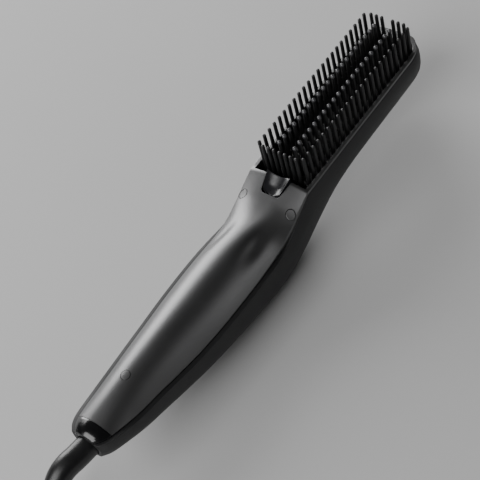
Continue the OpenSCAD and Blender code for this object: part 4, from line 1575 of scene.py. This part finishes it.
    def back_shell(self) -> bpy.types.Object:
        """Makes the back shell, closed at the tip and the tail, with its bore and panel cuts.

        Returns:
            The shell.
        """
        piece = Piece("back_shell_skin", "handle", ERODED_ABS, ("back_shell",))
        xs = stations(
            FORM.tip, (FORM.tail, 1.0), (FORM.tail + 4, 1.6), (self.waist_from, 1.0),
            (self.head_from, 2.0), (self.tip_from, 0.9),
        )
        arc = [k / 16 for k in range(17)]
        columns = mirrored(arc + [1 + k / 4 for k in range(1, 5)] + [3.0])
        sheet_of(piece.mesh, xs, columns, self.back_point)
        for end in (FORM.tail, FORM.tip):
            edge = [
                e for e in border_edges(piece.mesh) if all(abs(v.co.x - end) < 1e-4 for v in e.verts)
            ]
            bmesh.ops.contextual_create(piece.mesh, geom=edge)
        low = min(piece.mesh.faces, key=lambda f: f.calc_center_median().z)
        piece.face_towards(low, Vector((0, 0, -1)))
        piece.edge_round(piece.sharp_edges(48), 0.35, 3)
        cuts = [self._tail_bore(6.2)]
        pane = bmesh.new()
        place = self.panel(self.window_x, self.cut_from)
        self._block(pane, place, (*self.window_size, self.cut_high), self.window_gap, 1.2)
        cuts.append(cutter("window_opening", pane))
        for name, x in self.keys:
            key = bmesh.new()
            self._key(key, name, self.panel(x, self.cut_from), self.key_gap, self.cut_high)
            cuts.append(cutter(f"{name}_opening", key))
        return piece.build(cuts, wall=FORM.wall)

    @staticmethod
    def _tail_bore(length: float) -> bpy.types.Object:
        """Cutter for the bore of the swivel.

        Args:
            length: How long it is, from 2 mm behind the tail.

        Returns:
            The cutter.
        """
        bore = bmesh.new()
        behind = Matrix.Translation((FORM.tail - 2, 0, FORM.swivel)) @ ALONG_X
        rod(bore, behind, FORM.bore, length, sides=64)
        return cutter("swivel_bore", bore)

    @staticmethod
    def _block(
        mesh: bmesh.types.BMesh, place: Matrix, size: tuple[float, float, float], out: float,
        corner: float,
    ) -> None:
        """Adds a block with rounded upright edges that stands on the place.

        Args:
            mesh: The mesh that it is added to.
            place: Where the middle of its foot stands.
            size: Its size along and across, and its height.
            out: How far its sides stand out past its size.
            corner: Radius of its upright edges.
        """
        before = set(mesh.verts)
        scale = Matrix.Diagonal((size[0] + 2 * out, size[1] + 2 * out, size[2], 1))
        lifted = Matrix.Translation((0, 0, size[2] / 2)) @ scale
        made = bmesh.ops.create_cube(mesh, size=1.0, matrix=lifted)
        upright = [
            e for e in {e for v in made["verts"] for e in v.link_edges}
            if abs(e.verts[0].co.z - e.verts[1].co.z) > 0.5 * size[2]
        ]
        bmesh.ops.bevel(
            mesh, geom=upright, offset=corner + out, offset_type="OFFSET", affect="EDGES", segments=6,
            profile=0.5, material=-1,
        )
        verts = [v for v in mesh.verts if v not in before]
        bmesh.ops.transform(mesh, matrix=place, verts=verts)

    def _key(
        self, mesh: bmesh.types.BMesh, name: str, place: Matrix, out: float, height: float
    ) -> None:
        """Adds an upright block with a button's outline: round for power, else a capsule.

        Args:
            mesh: The mesh that it is added to.
            name: The button's name.
            place: Where the middle of its foot stands.
            out: How far it stands out past the button's outline.
            height: Its height.
        """
        if name == "power":
            rod(mesh, place, self.power_radius + out, height, sides=64)
            return
        wide, long = self.key_size
        verts = rod(mesh, Matrix(), wide / 2 + out, height, sides=48)
        for v in verts:
            v.co.y += math.copysign((long - wide) / 2, v.co.y) if abs(v.co.y) > 1e-4 else 0.0
        bmesh.ops.transform(mesh, matrix=place, verts=verts)

    def tail_cap(self) -> bpy.types.Object:
        """Makes the glossy cap over the strain relief.

        Returns:
            The cap.
        """
        piece = Piece("tail_cap_moulding", "handle", POLISHED_ABS, ("tail_cap",), sharp_deg=50)
        start = FORM.shell_end - 0.15
        xs = stations(start, (FORM.tail, 1.6), (FORM.tail + 1.6, 0.8))
        columns = [math.sin(math.pi / 2 * k / 14) for k in range(-14, 15)]

        def at(x: float, share: float) -> Vector:
            """Point of the cap's top at a share of its half width."""
            y = share * FORM.half_width(x)
            return Vector((x, y, FORM.crown_at(x, y)))

        sheet_of(piece.mesh, xs, columns, at)
        low = extruded(piece.mesh, border_edges(piece.mesh))[0]
        for v in low:
            v.co.z = FORM.parting(v.co.x) + self.seam
        bmesh.ops.contextual_create(piece.mesh, geom=low)
        piece.outward()
        rear = [
            e for e in piece.sharp_edges(35)
            if all(v.co.x < FORM.tail + 0.1 for v in e.verts)
            and max(v.co.z for v in e.verts) > FORM.swivel + 6.5
        ]
        piece.edge_round(rear, 1.5, 5)
        front = [e for e in piece.sharp_edges(50) if all(v.co.x > start - 0.1 for v in e.verts)]
        piece.edge_round(front, 0.25, 2)
        return piece.build([self._tail_bore(12)])

    def screw_plugs(self) -> bpy.types.Object:
        """Makes the three discs that cover the shell screws, flush with the shell.

        Returns:
            The discs as one piece.
        """
        piece = Piece("screw_plug_discs", "handle", SATIN_LACQUER, ("screw_plugs",))
        for x0, y0 in self.plugs:

            def at(radius: float, turn: float) -> Vector:
                """Point of one disc's top."""
                x, y = x0 + radius * math.cos(turn), y0 + radius * math.sin(turn)
                return Vector((x, y, FORM.crown_at(x, y) - 0.04))

            before = set(piece.mesh.verts)
            radii = [0, 0.4, 0.8, 1.2, 1.6, 1.9, self.plug_radius]
            sheet_of(piece.mesh, radii, [math.tau * k / 40 for k in range(41)], at)
            fresh = [v for v in piece.mesh.verts if v not in before]
            bmesh.ops.remove_doubles(piece.mesh, verts=fresh, dist=1e-4)
            rim = [e for e in border_edges(piece.mesh) if e.verts[0] not in before]
            low = extruded(piece.mesh, rim)[0]
            bmesh.ops.translate(piece.mesh, verts=low, vec=(0, 0, -1.4))
            bmesh.ops.contextual_create(piece.mesh, geom=low)
        piece.outward()
        piece.edge_round(piece.sharp_edges(55), 0.15, 2)
        return piece.build()

    def window(self) -> bpy.types.Object:
        """Makes the smoked display window.

        Returns:
            The window.
        """
        piece = Piece("display_pane", "handle", SMOKED_ACRYLIC, ("display_window",))
        low = self.skin(self.window_x) - 0.1
        size = (*self.window_size, 4.2 - low)
        self._block(piece.mesh, self.panel(self.window_x, low), size, 0.0, 1.1)
        piece.outward()
        piece.edge_round(piece.sharp_edges(60), 0.3, 3)
        return piece.build()

    def strokes(self, name: str) -> list[list[tuple[float, float]]]:
        """Lines of a button's mark: an open ring with a bar, a cross or a bar.

        Args:
            name: The button's name.

        Returns:
            The lines, each as places along and across the panel.
        """
        if name == "power":
            turns = [math.radians(a) for a in range(40, 321, 10)]
            ring = [(1.5 * math.cos(t), 1.5 * math.sin(t)) for t in turns]
            return [ring, [(r, 0) for r in (0.5, 1.2, 2.1)]]
        reach = (-1.4, 0, 1.4)
        bar = [(0, r) for r in reach]
        return [bar, [(r, 0) for r in reach]] if name == "plus" else [bar]

    def button(self, name: str, x: float) -> bpy.types.Object:
        """Makes one button with its dished face, stem, flange and printed mark.

        Args:
            name: The button's name.
            x: Its place on the panel.

        Returns:
            The button.
        """
        piece = Piece(f"{name}_cap", name, BUTTON_SILICONE, (f"{name}_button",), (MARK_INK,))
        low = self.skin(x) - self.proud
        self._key(piece.mesh, name, self.panel(x, low), 0.0, self.key_foot - low)
        piece.outward()
        piece.edge_round(piece.sharp_edges(60), 0.45, 4)
        down = self.panel(x).to_3x3() @ Vector((0, 0, -1))
        top = [f for f in piece.mesh.faces if f.normal.dot(down) > 0.99 and f.calc_area() > 5]
        bmesh.ops.inset_region(piece.mesh, faces=top, thickness=0.9, depth=0.0)
        bmesh.ops.inset_region(piece.mesh, faces=top, thickness=0.5, depth=-0.18)
        rod(piece.mesh, self.panel(x, self.flange_at), 1.1, 2.8, sides=24)
        self._key(piece.mesh, name, self.panel(x, self.flange_at), self.flange, 1.0)
        piece.outward()
        face = self.panel(x, low + self.mark_radius)
        plain = set(piece.mesh.faces)
        for line in self.strokes(name):
            path = [face @ Vector((u, v, 0)) for u, v in line]
            swept(piece.mesh, path, [self.mark_radius] * len(path), 10)
        for inked in set(piece.mesh.faces) - plain:
            inked.material_index = 1
        return piece.build()

    def build(self) -> None:
        """Makes every piece of the handle."""
        self.front_shell()
        self.back_shell()
        self.tail_cap()
        self.screw_plugs()
        self.window()
        for name, x in self.keys:
            self.button(name, x)


# ---------------------------------------------------------------- the comb


@dataclass
class Comb:
    """The pull-off bristle frame and the heated plate with its beaded teeth."""

    rows_apart: float = 24.0
    plate_half: float = 6.9
    plate_run: tuple[float, float] = (1.5, 86.5)
    slot_gap: float = 0.7
    tooth_half: float = 4.2
    bead: float = 1.1
    bead_height: float = -1.9
    # The thumb tab: height of its top and of its end, their half widths, and its end's place
    tab_top: float = -10.9
    tab_end: float = -16.1
    tab_half: tuple[float, float] = (6.2, 4.4)
    tab_foot: float = -13.7
    tab_corner: float = 2.2
    tab_scoop: float = 2.1
    plate_thick: float = 2.0
    plate_middle: float = -21.6
    tooth_foot: float = -20.6
    tooth_top: float = -2.4
    tooth_shift: float = 0.4

    @property
    def bristle_places(self) -> list[tuple[float, float]]:
        """Places of the bristles: two long rows, and a short row at each end.

        Returns:
            Pairs of x and y.
        """
        half = self.rows_apart / 2
        places = [(n * FORM.pitch, s * half) for n in range(FORM.bristles) for s in (1, -1)]
        places += [(-1.45, 3.0 * k) for k in range(-3, 4)]
        places += [(FORM.run + 1.5, 3.0 * k) for k in (-3, -2, -1, 1, 2, 3)]
        return places

    def turned(
        self, mesh: bmesh.types.BMesh, place: Vector, profile: Sequence[tuple[float, float]], sides: int
    ) -> None:
        """Adds an upright turned shape.

        Args:
            mesh: The mesh that it is added to.
            place: The origin of its profile.
            profile: Pairs of radius and height, from one end to the other.
            sides: Number of its sides.
        """
        line = [mesh.verts.new(place + Vector((r, 0, h))) for r, h in profile]
        edges = [mesh.edges.new(pair) for pair in zip(line, line[1:])]
        bmesh.ops.spin(
            mesh, geom=[*line, *edges], cent=place, axis=(0, 0, 1), angle=math.tau, steps=sides,
            use_merge=True,
        )

    def bristle_frame(self) -> bpy.types.Object:
        """Makes the frame with its bristles.

        Returns:
            The frame.
        """
        piece = Piece("bristle_frame_moulding", "comb", BRISTLE_NYLON, ("bristle_frame",))
        inset, top = FORM.frame_gap, -FORM.bristle_length
        start, end = FORM.opening_foot + inset, FORM.opening_tip - inset
        slot_x = (self.plate_run[0] - self.slot_gap, self.plate_run[1] + self.slot_gap)
        slot_y = self.plate_half + self.slot_gap
        xs = stations(end, (start, 1.2), (slot_x[0], 2.0), (slot_x[1], 0.7))

        def at(x: float, column: float) -> Vector:
            """Point of the frame's top; columns reach from the slot's edge, 1, to the rim, 2.

            Args:
                x: Its place along the comb.
                column: Its column, negative to the right.

            Returns:
                The point.
            """
            share = abs(column)
            outer = FORM.opening_half(x) - inset
            y = slot_y * share if share <= 1 else slot_y + (outer - slot_y) * (share - 1)
            return Vector((x, math.copysign(y, column), top))

        sheet_of(piece.mesh, xs, mirrored((0, 0.5, 1, 1.25, 1.5, 1.75, 2)), at)
        middles = {f: f.calc_center_median() for f in piece.mesh.faces}
        gone = [
            f for f, middle in middles.items()
            if slot_x[0] < middle.x < slot_x[1] and abs(middle.y) < slot_y
        ]
        bmesh.ops.delete(piece.mesh, geom=gone, context="FACES")
        new = bmesh.ops.extrude_face_region(piece.mesh, geom=piece.mesh.faces[:])["geom"]
        low = [g for g in new if isinstance(g, bmesh.types.BMVert)]
        bmesh.ops.translate(piece.mesh, verts=low, vec=(0, 0, -FORM.frame_thick))
        piece.outward()
        piece.edge_round(piece.sharp_edges(60), 0.35, 3)
        long = FORM.bristle_length
        # A foot with a fillet, a slender taper and a rounded end
        profile = (
            (0, -1), (1.5, -1), (1.5, 0.02), (1.18, 0.28), (1.03, 0.8), (1.0, 1.6),
            (0.85, long - 0.75), (0.79, long - 0.4), (0.6, long - 0.12), (0.3, long - 0.01),
            (0, long),
        )
        for x, y in self.bristle_places:
            self.turned(piece.mesh, Vector((x, y, top)), profile, 20)
        piece.outward()
        return piece.build()

    def thumb_tab(self) -> bpy.types.Object:
        """Makes the scooped tab that pulls the frame out.

        Returns:
            The tab.
        """
        piece = Piece("thumb_tab_moulding", "comb", TAB_NYLON)
        start, end = FORM.opening_foot + 0.3, self.tab_foot
        xs = [start + (end - start) * k / 16 for k in range(17)]

        def at(x: float, share: float) -> Vector:
            """Point of the scooped top.

            Args:
                x: Its place along the comb.
                share: Its share of the half width, negative to the right.

            Returns:
                The point.
            """
            down = (x - start) / (end - start)
            wide, narrow = self.tab_half
            corner = max(0.0, 1 - (x - end) / self.tab_corner)
            half = wide + (narrow - wide) * down
            half -= self.tab_corner * (1 - math.sqrt(1 - corner * corner))
            shallower = 1 - 0.55 * smooth_step(2 * down - 1)
            scoop = self.tab_scoop * (1 - abs(share) ** 2.6) * shallower
            level = self.tab_top + (self.tab_end - self.tab_top) * down
            return Vector((x, share * half, level - scoop))

        sheet_of(piece.mesh, xs, [k / 12 for k in range(-12, 13)], at)
        low = extruded(piece.mesh, border_edges(piece.mesh))[0]
        for v in low:
            v.co.z = -FORM.bristle_length - FORM.frame_thick
        bmesh.ops.contextual_create(piece.mesh, geom=low)
        piece.outward()
        piece.edge_round(piece.sharp_edges(50), 0.3, 3)
        return piece.build()

    def heater_plate(self) -> bpy.types.Object:
        """Makes the heated plate with its two rows of teeth.

        Returns:
            The plate.
        """
        piece = Piece("heater_plate_casting", "handle", CERAMIC_COAT, ("heater_plate",))
        start, end = self.plate_run
        size = (end - start, 2 * self.plate_half, self.plate_thick)
        middle = Matrix.Translation(((start + end) / 2, 0, self.plate_middle))
        bmesh.ops.create_cube(piece.mesh, size=1.0, matrix=middle @ Matrix.Diagonal((*size, 1)))
        piece.outward()
        piece.edge_round(piece.sharp_edges(60), 0.4, 3)
        long = self.tooth_top - self.tooth_foot
        profile = (
            (0, -0.5), (1.7, -0.5), (1.7, 0.02), (1.35, 0.25), (1.2, 0.8), (0.82, long - 0.7),
            (0.6, long - 0.2), (0, long),
        )
        for x, y in self.tooth_places:
            self.turned(piece.mesh, Vector((x, y, self.tooth_foot)), profile, 20)
        piece.outward()
        return piece.build()

    @property
    def tooth_places(self) -> list[tuple[float, float]]:
        """Places of the heated teeth.

        Returns:
            Pairs of x and y.
        """
        rows = (self.tooth_half, -self.tooth_half)
        numbers = range(1, FORM.bristles - 1)
        return [(n * FORM.pitch + self.tooth_shift, y) for n in numbers for y in rows]

    def beads(self) -> bpy.types.Object:
        """Makes the cool beads on the teeth, each with a small gate mark on top.

        Returns:
            The beads as one piece.
        """
        piece = Piece("tooth_bead_row", "handle", BEAD_RESIN, ("tooth_beads",))
        r = self.bead
        arc = [math.radians(a) for a in range(-90, 71, 16)]
        profile = [(r * math.cos(a) if a > -1.57 else 0.0, r * math.sin(a)) for a in arc]
        profile += [(0.3, 0.985 * r), (0.24, 0.9 * r), (0, 0.88 * r)]
        for x, y in self.tooth_places:
            self.turned(piece.mesh, Vector((x, y, self.bead_height)), profile, 20)
        piece.outward()
        return piece.build()

    def build(self) -> None:
        """Makes every piece of the comb."""
        self.bristle_frame()
        self.thumb_tab()
        self.heater_plate()
        self.beads()


# ---------------------------------------------------------------- the whole


def dress_hidden(nodes: dict[str, bpy.types.Object]) -> None:
    """Gives the carried-over parts inside the handle their finishes.

    Args:
        nodes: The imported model's nodes by name.
    """
    for name, node in nodes.items():
        finish = HIDDEN_FINISHES.get(SAME_FINISH.get(name, name))
        if finish is None:
            continue
        for place in node.material_slots:
            place.material = finish.material()
        LOG.info("%s: %s", name, finish.name)


def main() -> None:
    """Builds the comb, its lead and the studio in order."""
    logging.basicConfig(level=logging.INFO, format="%(message)s")
    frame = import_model()
    studio = Studio()
    studio.camera()
    Lead().build()
    Handle().build()
    Comb().build()
    dress_hidden(frame["nodes"])
    studio.floor()
    studio.light()


if __name__ == "__main__":
    main()
